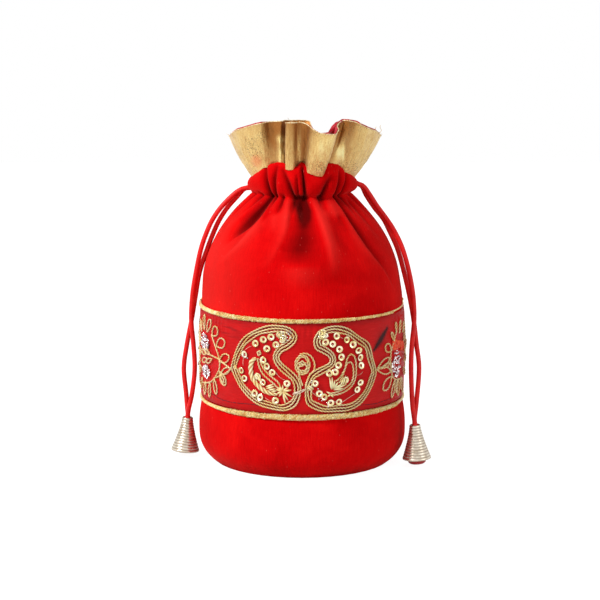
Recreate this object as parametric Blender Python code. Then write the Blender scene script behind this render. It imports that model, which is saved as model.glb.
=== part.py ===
# Potli bag: a gathered drawstring pouch of red velvet with a gold tissue frill, an embroidered band and two bells.
# Metres, +Z up. The bag stands on Z = 0 with its front towards -Y and its two drawstrings leaving left and right.
import math

import bmesh
import bpy
from mathutils import Vector

# Embroidered band and its two edgings; the band's radius leads every radius of the body
band_radius = 0.0634
band_height = 0.0613
band_depth = 0.0020         # how far the band's face stands off the velvet under it
band_low = 0.0376
band_high = band_low + band_height
low_piping = 0.0034         # height of the lower edging
high_piping = 0.0026
piping_depth = 0.0023

# Body of the bag, crest radii seen from outside
bulge_out = 0.0009          # velvet pushed out below the band, past the band's face
bulge_radius = band_radius + bulge_out
bulge_height = 0.5586 * band_low
base_curl = 0.0093          # from the widest velvet in to the flat of the base
base_radius = bulge_radius - base_curl
base_rise = 0.0022          # how far the base panel curls up to its seam
waist_radius = band_radius - band_depth
shoulder_radius = waist_radius + 0.0001
shoulder_gap = 0.0040       # straight velvet between the band and the shoulder
shoulder_rise = 0.0637
neck_radius = 0.0305        # crests at the lower stitch line of the drawstring channel
neck_height = band_high + shoulder_gap + shoulder_rise
shoulder_power = 2.2        # how late the shoulder turns in
wall = 0.0012               # velvet with its backing

# Drawstring channel
channel_bulge = 0.0032      # how far the channel swells past the neck
lip_radius = neck_radius + 0.0013   # velvet at the seam with the frill
channel_height = 0.0094     # from the lower stitch line to that seam, at the two cord slits
lip_side = neck_height + channel_height
slit_width = 0.0086
slit_height = 0.0038
slit_reach = 0.0135         # how deep the slit is cut, through the fold's two sides

# Frill of gold tissue and the lining
frill_wall = 0.0007
lining_wall = 0.0006
seam_gap = 0.0003           # clearance that touching pieces keep
lining_slack = 0.0007       # lining off the velvet along the body

# Cords, bells and stoppers
cord_diameter = 0.0024
cord_step = 0.0064
cord_gap = 0.0004           # between the two cords in the channel
channel_play = 0.0009       # between the cords and the lining inside the channel
bell_height = 0.0210
bell_top = 0.0034
bell_rim = 0.0090
bell_wall = 0.0007
bell_ribs = 8
bell_rib = 0.0004
bell_flare = 1.35
throat_clear = 0.0002
stopper_length = 0.0153
stopper_end = 0.0055
stopper_seat = 0.0050       # top of the seated stopper below the top of its bell
stopper_slip = 0.0040       # the right bell has slid up by this much

# Embroidery, laid on the band
relief = 0.0011
ribbon_width = 0.0038       # three rows of couched cord
heart_width = 0.0020
pair_angle = 126.0          # degrees between the front pair of paisleys and the next
flower_angle = 63.0
flower_height = 0.0660
flower_radius = 0.0125
flower_petal = 0.0045
petals = 8

columns = 160               # round the gathered cloth
middle_columns = 80         # round the cloth between
low_columns = 40            # round the plain body

# Gathers of the velvet. Each crease has a half width in mm and points down its length: height over the lower stitch
# line in mm, degrees off the front towards the right, and depth in mm. A ridge has a negative depth.
creases = [
    (1.8, [(19, -44, 0), (16, -43, 2.0), (8, -41, 3.2), (1, -39, 3.8), (-4, -41, 2.6), (-12, -46, 1.2), (-21, -50, 0)]),
    (1.6, [(21, -28, 0), (18, -28, 1.2), (11, -30, 2.4), (1, -32, 2.8), (-6, -33, 1.6), (-15, -34, 0)]),
    (1.7, [(19, -21, 0), (16, -20, 1.8), (9, -14, 2.8), (2, -10, 3.2), (-3, -8, 3.2), (-9, -9, 1.4), (-15, -10, 0)]),
    (1.6, [(21, 0, 0), (17, 0, 2.8), (9, 1, 3.6), (2, 2, 4.0), (-2, 2, 1.5), (-7, 2, 0)]),
    (1.8, [(15, 33, 0), (11, 29, 2.2), (6, 25, 3.2), (1, 22, 3.8), (-4, 22, 1.8), (-9, 23, 0)]),
    (1.6, [(18, 43, 0), (14, 43, 2.0), (7, 42, 3.0), (1, 41, 3.2), (-4, 41, 1.2), (-7, 41, 0)]),
    (1.6, [(16, 55, 0), (12, 54, 1.8), (5, 51, 2.8), (1, 50, 3.0), (-3, 52, 1.6), (-17, 56, 0)]),
    (2.4, [(3, -37, 0), (-1, -38, 2.6), (-7, -40, 4.0), (-14, -43, 4.6), (-20, -49, 4.4), (-26, -55, 3.0), (-31, -61, 1.4),
           (-36, -66, 0)]),
    (2.2, [(0, -34, 0), (-6, -34, -1.0), (-14, -36, -1.5), (-21, -40, -1.8), (-29, -46, -1.7), (-36, -54, -0.9), (-41, -60, 0)]),
    (1.6, [(3, -23, 0), (-1, -22, 3.2), (-5, -22, 3.2), (-8, -21, 1.4), (-10, -21, 0)]),
    (2.7, [(1, 2, 0), (-3, 2, 2.6), (-9, 3, 4.2), (-15, 3, 5.0), (-20, 3, 4.6), (-25, 2, 3.0), (-30, 2, 1.4), (-37, 2, 0)]),
    (1.8, [(1, 7, 0), (-4, 9, -1.2), (-11, 10, -1.7), (-19, 11, -1.8), (-26, 14, -1.4), (-33, 17, -0.9), (-38, 20, 0)]),
    (1.8, [(2, 45, 0), (-2, 44, 2.6), (-8, 42, 2.4), (-14, 43, 2.0), (-21, 46, 2.0), (-29, 49, 1.7), (-37, 55, 1.1), (-45, 61, 0.7),
           (-53, 66, 0)]),
    (2.4, [(-2, 37, 0), (-9, 37, -1.1), (-18, 40, -1.3), (-27, 43, -1.2), (-36, 49, -0.7), (-44, 55, 0)]),
    (2.2, [(-1, 60, 0), (-5, 60, 2.0), (-13, 63, 1.6), (-21, 66, 0.8), (-29, 70, 0)]),
    (1.9, [(3, -56, 0), (0, -55, 2.6), (-5, -57, 2.2), (-11, -62, 1.2), (-19, -68, 0)]),
    (2.0, [(3, 72, 0), (0, 73, 2.4), (-7, 74, 1.6), (-17, 78, 0)]),
    (2.0, [(3, -72, 0), (0, -72, 2.2), (-7, -75, 1.4), (-17, -79, 0)]),
    (2.3, [(14, 100, 0), (9, 100, 2.8), (1, 100, 3.9), (-5, 100, 3.5), (-19, 102, 2.4), (-34, 105, 0)]),
    (1.8, [(14, 112, 0), (9, 113, 2.3), (1, 113, 3.3), (-5, 112, 3.0), (-10, 109, 2.0), (-16, 106, 0)]),
    (2.0, [(14, 125, 0), (9, 124, 2.9), (1, 124, 4.2), (-5, 123, 3.8), (-15, 120, 2.5), (-25, 117, 0)]),
    (1.8, [(14, 139, 0), (9, 136, 2.9), (1, 136, 4.2), (-5, 136, 3.7), (-9, 136, 2.5), (-14, 135, 0)]),
    (2.4, [(14, 154, 0), (9, 152, 2.4), (1, 152, 3.5), (-5, 152, 3.1), (-21, 152, 2.1), (-38, 151, 0)]),
    (1.9, [(14, 166, 0), (9, 164, 2.2), (1, 164, 3.2), (-5, 164, 2.9), (-12, 164, 1.9), (-20, 165, 0)]),
    (2.1, [(14, 174, 0), (9, 175, 2.8), (1, 175, 4.0), (-5, 175, 3.6), (-17, 177, 2.4), (-29, 178, 0)]),
    (1.8, [(14, 193, 0), (9, 192, 2.0), (1, 192, 2.8), (-5, 192, 2.5), (-10, 195, 1.7), (-16, 198, 0)]),
    (2.3, [(14, 201, 0), (9, 203, 2.4), (1, 203, 3.4), (-5, 203, 3.1), (-19, 203, 2.0), (-34, 203, 0)]),
    (1.8, [(14, 213, 0), (9, 216, 2.3), (1, 216, 3.2), (-5, 216, 2.9), (-10, 218, 1.9), (-16, 220, 0)]),
    (2.0, [(14, 229, 0), (9, 231, 2.7), (1, 231, 3.9), (-5, 231, 3.5), (-15, 230, 2.4), (-25, 230, 0)]),
    (1.8, [(14, 244, 0), (9, 244, 2.5), (1, 244, 3.5), (-5, 244, 3.2), (-9, 246, 2.1), (-14, 248, 0)]),
    (2.4, [(14, 254, 0), (9, 256, 2.9), (1, 256, 4.1), (-5, 255, 3.7), (-21, 252, 2.5), (-38, 248, 0)]),
]
deepest_fold = 0.0052

# The seam of velvet and frill, and the frill's rim, round the bag: degrees off the front, how far out of lip_radius
# and how far above lip_side, in mm
seam_line = [
    (-90, 0, 0), (-74, 0, 1.5), (-58, 0, 5.4), (-46, 0, 8.3), (-43, -0.4, 8.7), (-41, -2.0, 9.2), (-37, -3.6, 10.0),
    (-32, -4.0, 10.8), (-27, -2.6, 11.0), (-24, -2.2, 10.9), (-20, -3.2, 10.6), (-18, 0.2, 9.4), (-14, 0.8, 8.4), (-9, 0.6, 8.5),
    (-7, -1.0, 8.9), (-4, -3.3, 10.5), (-1, -3.6, 11.4), (2, -3.0, 11.0), (4, -1.0, 9.6), (6, 1.1, 7.6), (10, 1.4, 6.3),
    (16, 1.4, 5.2), (21, 1.0, 4.3), (24, -0.2, 4.7), (26, -2.6, 7.4), (28, -3.2, 10.3), (30, -2.7, 10.6), (35, -1.2, 10.4),
    (41, -0.8, 9.9), (46, -2.4, 8.2), (51, -2.2, 6.6), (56, -0.4, 4.9), (63, 0, 3.4), (72, 0, 1.8), (90, 0, -0.6),
    (97, 0, 0), (106, -3.6, 0.9), (117, 0, 1.5), (127, -3.4, 1.9), (138, 0, 2.2), (147, -3.8, 2.6), (157, 0, 2.5),
    (168, -3.3, 2.3), (178, 0, 2.0), (189, -3.6, 1.8), (199, 0, 1.4), (208, -3.4, 1.1), (219, 0, 1.5), (230, -3.7, 2.1),
    (240, 0, 2.5), (250, -3.4, 1.6), (260, 0, 0.7), (270, 0, 0),
]
rim_line = [
    (-90, 12.2, 25.0), (-77, 12.2, 27.2), (-65, 12.3, 30.2), (-53, 11.0, 33.6), (-43, 10.3, 35.6), (-38, 9.3, 36.6),
    (-35.5, 3.6, 37.1), (-31, 1.5, 37.2), (-26, 0.9, 37.2), (-22, 0.6, 37.2), (-19.5, -1.8, 37.2), (-17, -1.2, 37.2),
    (-14.5, 8.5, 36.7), (-12, 10.3, 36.8), (-9, 10.7, 36.8), (-6.5, 9.9, 36.8), (-4, 7.7, 36.8), (-1.5, 6.8, 36.8), (1.2, 7.0, 36.5),
    (4, 8.3, 35.8), (6, 11.0, 34.8), (8, 13.3, 33.8), (12, 15.0, 32.4), (18, 15.2, 31.3), (23, 15.2, 31.0), (26, 14.8, 31.0),
    (29.5, 11.5, 32.6), (32, 7.6, 34.4), (36, 6.4, 36.3), (39, 6.6, 37.2), (41.5, 9.6, 37.1), (45.5, 10.9, 36.4), (48.5, 13.6, 35.7),
    (56, 15.5, 33.2), (68, 15.8, 29.6), (80, 16.0, 26.4), (90, 16.0, 24.8),
    (97, 13.6, 23.8), (106, 2.6, 23.4), (117, 13.2, 22.6), (127, 3.6, 22.6), (138, 12.6, 22.0), (147, 2.0, 22.2),
    (157, 13.0, 21.8), (168, 4.0, 21.8), (178, 12.4, 21.5), (189, 2.4, 21.9), (199, 12.8, 21.8), (208, 3.0, 22.0),
    (219, 13.4, 22.2), (230, 2.8, 22.5), (240, 13.0, 22.9), (250, 3.8, 23.4), (260, 13.6, 24.0), (270, 14.2, 25.0),
]
gather_unit = neck_radius / 30.5   # the lists above are in mm for a neck of 30.5 mm, and follow the neck


def material(name, colour, roughness, metallic=0.0):
    made = bpy.data.materials.new(name)
    made.use_nodes = True
    shader = made.node_tree.nodes["Principled BSDF"]
    shader.inputs["Base Color"].default_value = (*colour, 1.0)
    shader.inputs["Roughness"].default_value = roughness
    shader.inputs["Metallic"].default_value = metallic
    made.diffuse_color = (*colour, 1.0)
    return made


def add_object(name, data, finish):
    made = bpy.data.objects.new(name, data)
    bpy.context.scene.collection.objects.link(made)
    data.materials.append(finish)
    return made


def smooth_step(value):
    t = min(max(value, 0.0), 1.0)
    return t * t * (3.0 - 2.0 * t)


# The cloth's own lines, as radius against height
def velvet_crest(z):
    if z < bulge_height:
        return bulge_radius - (bulge_radius - base_radius) * ((bulge_height - z) / bulge_height) ** 3
    squeeze = band_low - 0.0003
    if z < squeeze:
        part = (z - bulge_height) / (squeeze - bulge_height)
        return bulge_radius - 0.6 * (bulge_radius - waist_radius) * part * part
    if z < band_high:
        part = (z - squeeze) / (low_piping * 0.7)
        return waist_radius + 0.4 * (bulge_radius - waist_radius) * (1.0 - smooth_step(part))
    start = band_high + shoulder_gap
    if z < start:
        return waist_radius + (shoulder_radius - waist_radius) * (z - band_high) / shoulder_gap
    part = min((z - start) / (neck_height - start), 1.0)
    return neck_radius + (shoulder_radius - neck_radius) * (1.0 - part ** shoulder_power)


def off_front(u):
    """Degrees off the front of a column, from -90 at the left slit round to 270."""
    return (math.degrees(u) + 180.0) % 360.0 - 90.0


def level(line, degrees, k):
    """Reads one column of a table of degrees and values."""
    for low, high in zip(line, line[1:]):
        if low[0] <= degrees <= high[0]:
            return low[k] + (high[k] - low[k]) * smooth_step((degrees - low[0]) / (high[0] - low[0]))
    return line[-1][k]


def down_crease(points, height, k):
    """Angle or depth of a crease at a height in mm; its points run downwards."""
    if height >= points[0][0]:
        return points[0][k]
    for high, low in zip(points, points[1:]):
        if height >= low[0]:
            return low[k] + (high[k] - low[k]) * (height - low[0]) / (high[0] - low[0])
    return points[-1][k]


def fold_at(u, z):
    """How far the gathers pull the cloth in at a place."""
    height = (z - neck_height) / gather_unit
    total = 0.0
    for width, points in creases:
        deep = down_crease(points, height, 2)
        if deep:
            off = (off_front(u) - down_crease(points, height, 1) + 180.0) % 360.0 - 180.0
            across = math.radians(off) * velvet_crest(z) / gather_unit / width
            total += deep * math.exp(1 - math.sqrt(1 + (1.5 * across) ** 2))
    return min(total * gather_unit, deepest_fold)


def lip(u):
    return lip_side + level(seam_line, off_front(u), 2) * gather_unit


def seam_radius(u):
    return lip_radius + level(seam_line, off_front(u), 1) * gather_unit


def ring(count, radius, height):
    """A ring of points; radius and height are numbers or functions of the column's angle."""
    made = []
    for i in range(count):
        u = 2 * math.pi * i / count
        z = height(u) if callable(height) else height
        r = radius(u) if callable(radius) else radius
        made.append(Vector((r * math.cos(u), r * math.sin(u), z)))
    return made


def loft(name, rings, finish, closed=True):
    """Skins rings of points. Two neighbours have equal counts or one has twice the other's. A single point is a pole.
    Every side of a cloth gets the same diagonals, so that layers that lie close never cross."""
    shape = bmesh.new()
    verts = [[shape.verts.new(p) for p in points] for points in rings]
    pairs = list(zip(verts, verts[1:] + verts[:1] if closed else verts[1:]))
    for low, high in pairs:
        a, b = len(low), len(high)
        if a == 1 or b == 1:
            pole, loop = (low[0], high) if a == 1 else (high[0], low)
            for i in range(len(loop)):
                shape.faces.new((pole, loop[i], loop[(i + 1) % len(loop)]))
        elif a == b:
            under, over = (low, high) if low[0].co.z <= high[0].co.z else (high, low)
            for i in range(a):
                j = (i + 1) % a
                shape.faces.new((under[i], under[j], over[j]))
                shape.faces.new((under[i], over[j], over[i]))
        else:
            few, many = (low, high) if a < b else (high, low)
            for i in range(len(few)):
                j = (i + 1) % len(few)
                left, middle, right = many[2 * i], many[2 * i + 1], many[(2 * i + 2) % len(many)]
                shape.faces.new((few[i], left, middle))
                shape.faces.new((few[i], middle, few[j]))
                shape.faces.new((few[j], middle, right))
    bmesh.ops.recalc_face_normals(shape, faces=shape.faces)
    data = bpy.data.meshes.new(name)
    shape.to_mesh(data)
    shape.free()
    return add_object(name, data, finish)


def plain_rings(heights, inset=0.0, lift=0.0):
    return [ring(low_columns, velvet_crest(z) - inset, z + lift) for z in heights]


def folded(z, inset, count):
    """A ring of the gathered shoulder."""
    return ring(count, lambda u: velvet_crest(z) - fold_at(u, z) - inset, z)


def channel_ring(radius, share, inset, drop=0.0):
    """A ring of the channel, at a share of the way from the stitch line to the seam with the frill."""
    def height(u):
        return neck_height + (lip(u) - neck_height) * share - drop

    return ring(columns, lambda u: radius - (1 - share) * fold_at(u, height(u)) - share * (lip_radius - seam_radius(u)) - inset,
                height)


def channel_rings(inset):
    """The drawstring channel, between the lower stitch line and the seam with the frill."""
    swell = neck_radius + channel_bulge
    edge = 0.0012
    return [
        folded(neck_height, inset, columns),
        channel_ring(swell - 0.35 * channel_bulge, 0.10, inset),
        channel_ring(swell, 0.35, inset),
        channel_ring(swell - 0.1 * channel_bulge, 0.65, inset),
        channel_ring(lip_radius + edge, 1.0, inset, edge),
        channel_ring(lip_radius, 1.0, inset),
    ]


def build_base():
    top = base_rise + seam_gap
    rings = [
        [Vector((0, 0, 0))],
        ring(low_columns, base_radius, 0.0),
        ring(low_columns, velvet_crest(0.4 * base_rise), 0.4 * base_rise),
        ring(low_columns, velvet_crest(base_rise), base_rise),
        ring(low_columns, velvet_crest(base_rise) - wall, top),
        [Vector((0, 0, top))],
    ]
    return loft("base_panel", rings, velvet, closed=False)


def build_velvet():
    foot = base_rise + seam_gap
    start = band_high + shoulder_gap
    rise = neck_height - start
    low = [foot] + [k * bulge_height for k in (0.238, 0.429, 0.667, 1.0)]
    low += [0.5 * (bulge_height + band_low), band_low - 0.0030, band_low - 0.0003]
    low += [band_low + low_piping * 0.7, 0.5 * (band_low + band_high), band_high, start]
    high = [start + rise * k for k in (0.20, 0.35, 0.47, 0.58, 0.69, 0.79, 0.88, 0.95)]

    def gathered(inset):
        counts = [middle_columns] * 2 + [columns] * 6
        return [folded(z, inset, count) for z, count in zip(high, counts)] + channel_rings(inset)

    outer = plain_rings(low) + gathered(0.0)
    inner = plain_rings([low[0], low[1], low[2], low[4], low[6], low[9], start], wall, seam_gap) + gathered(wall)
    made = loft("velvet_wall", outer + inner[::-1], velvet)
    for side, z in ((-1, left_cord_height), (1, right_cord_height)):
        bpy.ops.mesh.primitive_cylinder_add(vertices=14, radius=0.5, depth=slit_reach)
        cutter = bpy.context.object
        cutter.name = "slit_cutter_left" if side < 0 else "slit_cutter_right"
        cutter.scale = (slit_height, slit_width, 1.0)
        cutter.rotation_euler = (0.0, math.pi / 2, 0.0)
        cutter.location = (side * (neck_radius + channel_bulge - 0.5 * wall), 0.0, z)
        cutter.display_type = "WIRE"
        cutter.hide_render = True
        cut = made.modifiers.new("Slit", "BOOLEAN")
        cut.object = cutter
        cut.operation = "DIFFERENCE"
        cut.solver = "EXACT"
    return made


def frill_ring(t, inset, lift=0.0):
    """A ring of the frill, t running from the seam to the rim: gathers open out into deep, uneven folds."""
    def radius(u):
        out = lip_radius + level(rim_line, off_front(u), 1) * gather_unit
        return seam_radius(u) + (out - seam_radius(u)) * t + 0.0011 * math.sin(math.pi * t) - inset

    def height(u):
        top = lip_side + level(rim_line, off_front(u), 2) * gather_unit
        return lip(u) + lift + (top - lip(u) - lift) * t

    return ring(columns, radius, height)


def build_frill():
    steps = (0.0, 0.3, 0.65, 1.0)
    outer = [frill_ring(t, 0.0, seam_gap) for t in steps]
    inner = [frill_ring(t, frill_wall, seam_gap) for t in steps]
    return loft("gold_frill", outer + inner[::-1], tissue)


def build_lining():
    floor = base_rise + 2 * seam_gap
    start = band_high + shoulder_gap
    outer_steps = [0.429 * bulge_height, bulge_height, band_low + low_piping, start]
    outer_steps += [start + (neck_height - start) * k for k in (0.3, 0.55, 0.78)]
    tube = loop_radius - cord_diameter / 2 - channel_play

    def side(inset):
        curl, corner = velvet_crest(0.167 * bulge_height), velvet_crest(0.229 * bulge_height)
        rings = [
            ring(low_columns, curl - wall - 0.0030 - inset, floor + inset * 1.2),
            ring(low_columns, corner - wall - lining_slack - inset, 0.229 * bulge_height + inset),
        ]
        for z in outer_steps:
            pulled = 1.1 * deepest_fold * smooth_step((z - start) / (0.35 * shoulder_rise))
            rings.append(ring(low_columns, velvet_crest(z) - pulled - wall - lining_slack - inset, z))
        rings.append(ring(middle_columns, tube - inset, neck_height))
        rings.append(ring(columns, tube - inset, lip))
        for t in (0.3, 0.65, 1.0):
            rings.append(frill_ring(t, frill_wall + seam_gap + inset, seam_gap))
        return rings

    outer, inner = side(0.0), side(lining_wall)
    below, above = [Vector((0, 0, floor))], [Vector((0, 0, floor + lining_wall))]
    return loft("lining", [below] + outer + inner[::-1] + [above], satin, closed=False)


def build_band():
    low, high = band_low + low_piping + seam_gap, band_high - high_piping - seam_gap
    inside = waist_radius + seam_gap
    middle = 0.5 * (low + high)
    rings = [
        ring(low_columns, band_radius - 0.0004, low),
        ring(low_columns, band_radius, low + 0.006),
        ring(low_columns, band_radius - 0.0002, middle),
        ring(low_columns, band_radius, high - 0.006),
        ring(low_columns, band_radius - 0.0004, high),
        ring(low_columns, inside, high),
        ring(low_columns, inside, low),
    ]
    return loft("band", rings, silk)


def build_piping(name, low, height):
    """An edging with a flattened round section, sewn on where the band meets the velvet."""
    centre = waist_radius + 2 * seam_gap + piping_depth / 2
    rings = []
    for k in range(6):
        turn = math.pi * k / 3
        out, up = math.cos(turn) * piping_depth / 2, math.sin(turn) * height / 2
        rings.append(ring(low_columns, centre + out, low + height / 2 + up))
    return loft(name, rings, gold)


# What the embroidery and the strands were drawn for; both follow the bag when its sizes change
drawn_radius = 0.0634
drawn_low = 0.0376
drawn_height = 0.0613
drawn_slit = 0.0331

# Embroidery: closed outlines on the band, as distance round it from the pattern's own middle and height
paisley_outline = [
    (0.0470, 0.0660), (0.0440, 0.0775), (0.0365, 0.0868), (0.0260, 0.0925), (0.0150, 0.0943),
    (0.0075, 0.0920), (0.0042, 0.0870), (0.0068, 0.0816), (0.0125, 0.0780), (0.0150, 0.0745),
    (0.0120, 0.0710), (0.0055, 0.0665), (0.0018, 0.0605), (0.0009, 0.0535), (0.0045, 0.0465),
    (0.0125, 0.0428), (0.0240, 0.0425), (0.0355, 0.0465), (0.0435, 0.0555),
]
heart_outline = [
    (0.0285, 0.0775), (0.0325, 0.0710), (0.0330, 0.0640), (0.0295, 0.0570), (0.0230, 0.0533),
    (0.0160, 0.0526), (0.0137, 0.0555), (0.0175, 0.0600), (0.0225, 0.0655), (0.0262, 0.0720),
]
rosette_centre = 0.0710
rosette_width = 0.0043
rosette_height = 0.0060


def closed_curve(points, count):
    """Points evenly along a closed Catmull-Rom curve through the given ones."""
    fine, n = [], len(points)
    for i in range(n):
        p = [Vector(points[(i + k - 1) % n]) for k in range(4)]
        for k in range(8):
            t = k / 8
            fine.append(0.5 * (2 * p[1] + (p[2] - p[0]) * t + (2 * p[0] - 5 * p[1] + 4 * p[2] - p[3]) * t * t
                               + (3 * p[1] - p[0] - 3 * p[2] + p[3]) * t ** 3))
    return spaced(fine + fine[:1], count + 1)[:-1]


def spaced(points, count):
    """The same line with its points at even distances."""
    along = [0.0]
    for a, b in zip(points, points[1:]):
        along.append(along[-1] + (b - a).length)
    made, k = [], 0
    for i in range(count):
        want = along[-1] * i / (count - 1)
        while k < len(points) - 2 and along[k + 1] < want:
            k += 1
        span = along[k + 1] - along[k]
        made.append(points[k].lerp(points[k + 1], min((want - along[k]) / span, 1.0) if span else 0.0))
    return made


def ribbon(name, line, width, middle, finish):
    """A raised ribbon on the band. The line is its outer edge, and the width is laid inwards."""
    inside, outside = band_radius + 0.5 * seam_gap, band_radius + 0.5 * seam_gap + relief
    n = len(line)
    area = sum(line[i].x * line[(i + 1) % n].y - line[(i + 1) % n].x * line[i].y for i in range(n))
    turn = 1.0 if area > 0 else -1.0
    sections = []
    for i in range(n):
        way = (line[(i + 1) % n] - line[i - 1]).normalized()
        inward = Vector((-way.y, way.x)) * turn
        section = []
        for across, r in ((0.0, inside), (0.18, outside), (0.82, outside), (1.0, inside)):
            p = line[i] + inward * width * across
            angle = math.radians(middle) + p.x / drawn_radius - math.pi / 2
            z = band_low + (p.y - drawn_low) * band_height / drawn_height
            section.append(Vector((r * math.cos(angle), r * math.sin(angle), z)))
        sections.append(section)
    shape = bmesh.new()
    verts = [[shape.verts.new(p) for p in section] for section in sections]
    for i in range(n):
        for k in range(4):
            j, m = (i + 1) % n, (k + 1) % 4
            shape.faces.new((verts[i][k], verts[j][k], verts[j][m], verts[i][m]))
    bmesh.ops.recalc_face_normals(shape, faces=shape.faces)
    data = bpy.data.meshes.new(name)
    shape.to_mesh(data)
    shape.free()
    return add_object(name, data, finish)


def build_embroidery():
    number = 0
    for pair, middle in enumerate((0.0, pair_angle, -pair_angle)):
        for side in (-1, 1):
            number += 1
            outline = closed_curve([(side * x, z) for x, z in paisley_outline], 26)
            ribbon(f"paisley_{number}", outline, ribbon_width, middle, gold)
            heart = closed_curve([(side * x, z) for x, z in heart_outline], 12)
            ribbon(f"paisley_heart_{number}", heart, heart_width, middle, gold)
        oval = [(rosette_width * math.sin(math.pi * k / 6), rosette_centre + rosette_height * math.cos(math.pi * k / 6))
                for k in range(12)]
        ribbon(f"rosette_{pair + 1}", [Vector(p) for p in oval], 0.4 * rosette_width, middle, gold)
    for number, middle in ((1, -flower_angle), (2, flower_angle)):
        line = []
        for k in range(5 * petals):
            turn = 2 * math.pi * k / (5 * petals)
            r = flower_radius + flower_petal * math.cos(petals * turn)
            line.append(Vector((r * math.cos(turn), flower_height + r * math.sin(turn))))
        ribbon(f"flower_{number}", line, heart_width, middle, silver)


# The two drawstrings. Each goes once round the channel and both of its ends leave by one slit and enter a bell.
loop_radius = neck_radius - 0.0057
left_cord_height = neck_height + 0.0027
right_cord_height = left_cord_height + cord_diameter + cord_gap
left_bell_top = Vector((-band_radius - 0.0083, 0.0, 0.0246))
left_bell_foot = Vector((-band_radius - 0.0100, 0.0, 0.0036))
right_bell_top = Vector((band_radius + 0.0058, -0.0260, 0.0260))
right_bell_foot = Vector((band_radius + 0.0072, -0.0260, 0.0050))

# Hand-chosen points of the free strands, from the slit down to the bell
left_front_strand = [
    (-0.0368, -0.0014, 0.1687), (-0.0419, -0.0014, 0.1654), (-0.0493, -0.0014, 0.1580), (-0.0546, -0.0014, 0.1506),
    (-0.0583, -0.0014, 0.1431), (-0.0623, -0.0014, 0.1319), (-0.0656, -0.0014, 0.1169), (-0.0680, -0.0014, 0.1019),
    (-0.0688, -0.0016, 0.0867), (-0.0676, -0.0016, 0.0715), (-0.0669, -0.0015, 0.0563), (-0.0686, -0.0016, 0.0409),
    (-0.0710, -0.0015, 0.0300),
]
left_back_strand = [
    (-0.0362, 0.0014, 0.1679), (-0.0393, 0.0014, 0.1644), (-0.0457, 0.0014, 0.1572), (-0.0504, 0.0014, 0.1502),
    (-0.0541, 0.0014, 0.1427), (-0.0585, 0.0014, 0.1315), (-0.0635, 0.0014, 0.1165), (-0.0662, 0.0014, 0.1013),
    (-0.0688, 0.0016, 0.0862), (-0.0718, 0.0016, 0.0710), (-0.0739, 0.0015, 0.0557), (-0.0727, 0.0016, 0.0403),
    (-0.0720, 0.0015, 0.0300),
]
right_front_strand = [
    (0.0374, -0.0014, 0.1705), (0.0412, -0.0018, 0.1655), (0.0459, -0.0030, 0.1583), (0.0514, -0.0042, 0.1510),
    (0.0562, -0.0058, 0.1438), (0.0615, -0.0076, 0.1328), (0.0656, -0.0102, 0.1183), (0.0681, -0.0130, 0.1038),
    (0.0687, -0.0158, 0.0892), (0.0673, -0.0185, 0.0747), (0.0668, -0.0212, 0.0602), (0.0675, -0.0246, 0.0402),
    (0.0686, -0.0270, 0.0310),
]
right_back_strand = [
    (0.0368, 0.0013, 0.1698), (0.0392, 0.0010, 0.1648), (0.0442, -0.0003, 0.1572), (0.0500, -0.0015, 0.1500),
    (0.0537, -0.0030, 0.1428), (0.0586, -0.0046, 0.1320), (0.0626, -0.0072, 0.1179), (0.0660, -0.0100, 0.1033),
    (0.0686, -0.0126, 0.0887), (0.0703, -0.0153, 0.0741), (0.0719, -0.0182, 0.0596), (0.0703, -0.0220, 0.0395),
    (0.0692, -0.0244, 0.0310),
]


def bell_radius(s):
    return bell_top + (bell_rim - bell_top) * s ** bell_flare


def frame_of(top, foot):
    """A function that places a point by its distance down the bell and its offsets across."""
    down = (foot - top).normalized()
    across = Vector((0, 1, 0)) - down * down.y
    across.normalize()
    other = down.cross(across)
    return lambda s, a, b: top + down * s + across * a + other * b


def throat_points(place, sign, end):
    half = cord_diameter / 2 + 0.00015
    return [place(-0.0012, sign * half, 0.0), place(0.5 * end, sign * half, 0.0), place(end, sign * half, 0.0)]


def smooth_line(points, step):
    """An even POLY line read from a Catmull-Rom curve through the points."""
    fine = []
    padded = [2 * points[0] - points[1]] + points + [2 * points[-1] - points[-2]]
    for i in range(len(points) - 1):
        p = padded[i:i + 4]
        for k in range(12):
            t = k / 12
            fine.append(0.5 * (2 * p[1] + (p[2] - p[0]) * t + (2 * p[0] - 5 * p[1] + 4 * p[2] - p[3]) * t * t
                               + (3 * p[1] - p[0] - 3 * p[2] + p[3]) * t ** 3))
    fine.append(points[-1])
    length = sum((b - a).length for a, b in zip(fine, fine[1:]))
    return spaced(fine, round(length / step) + 1)


def hang(points, side, lift, slit, top):
    """A strand's points, carried along when the bag is made wider or taller than they were drawn for."""
    start = band_high + shoulder_gap
    wide, narrow = band_radius - drawn_radius, slit - drawn_slit
    made = []
    for x, y, z in points:
        z += lift * (z - top.z) / (points[0][2] - top.z)
        turned_in = min(max((z - start) / (neck_height - start), 0.0), 1.0) ** shoulder_power
        made.append(Vector((x + side * (wide + (narrow - wide) * turned_in), y, z)))
    return made


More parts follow.
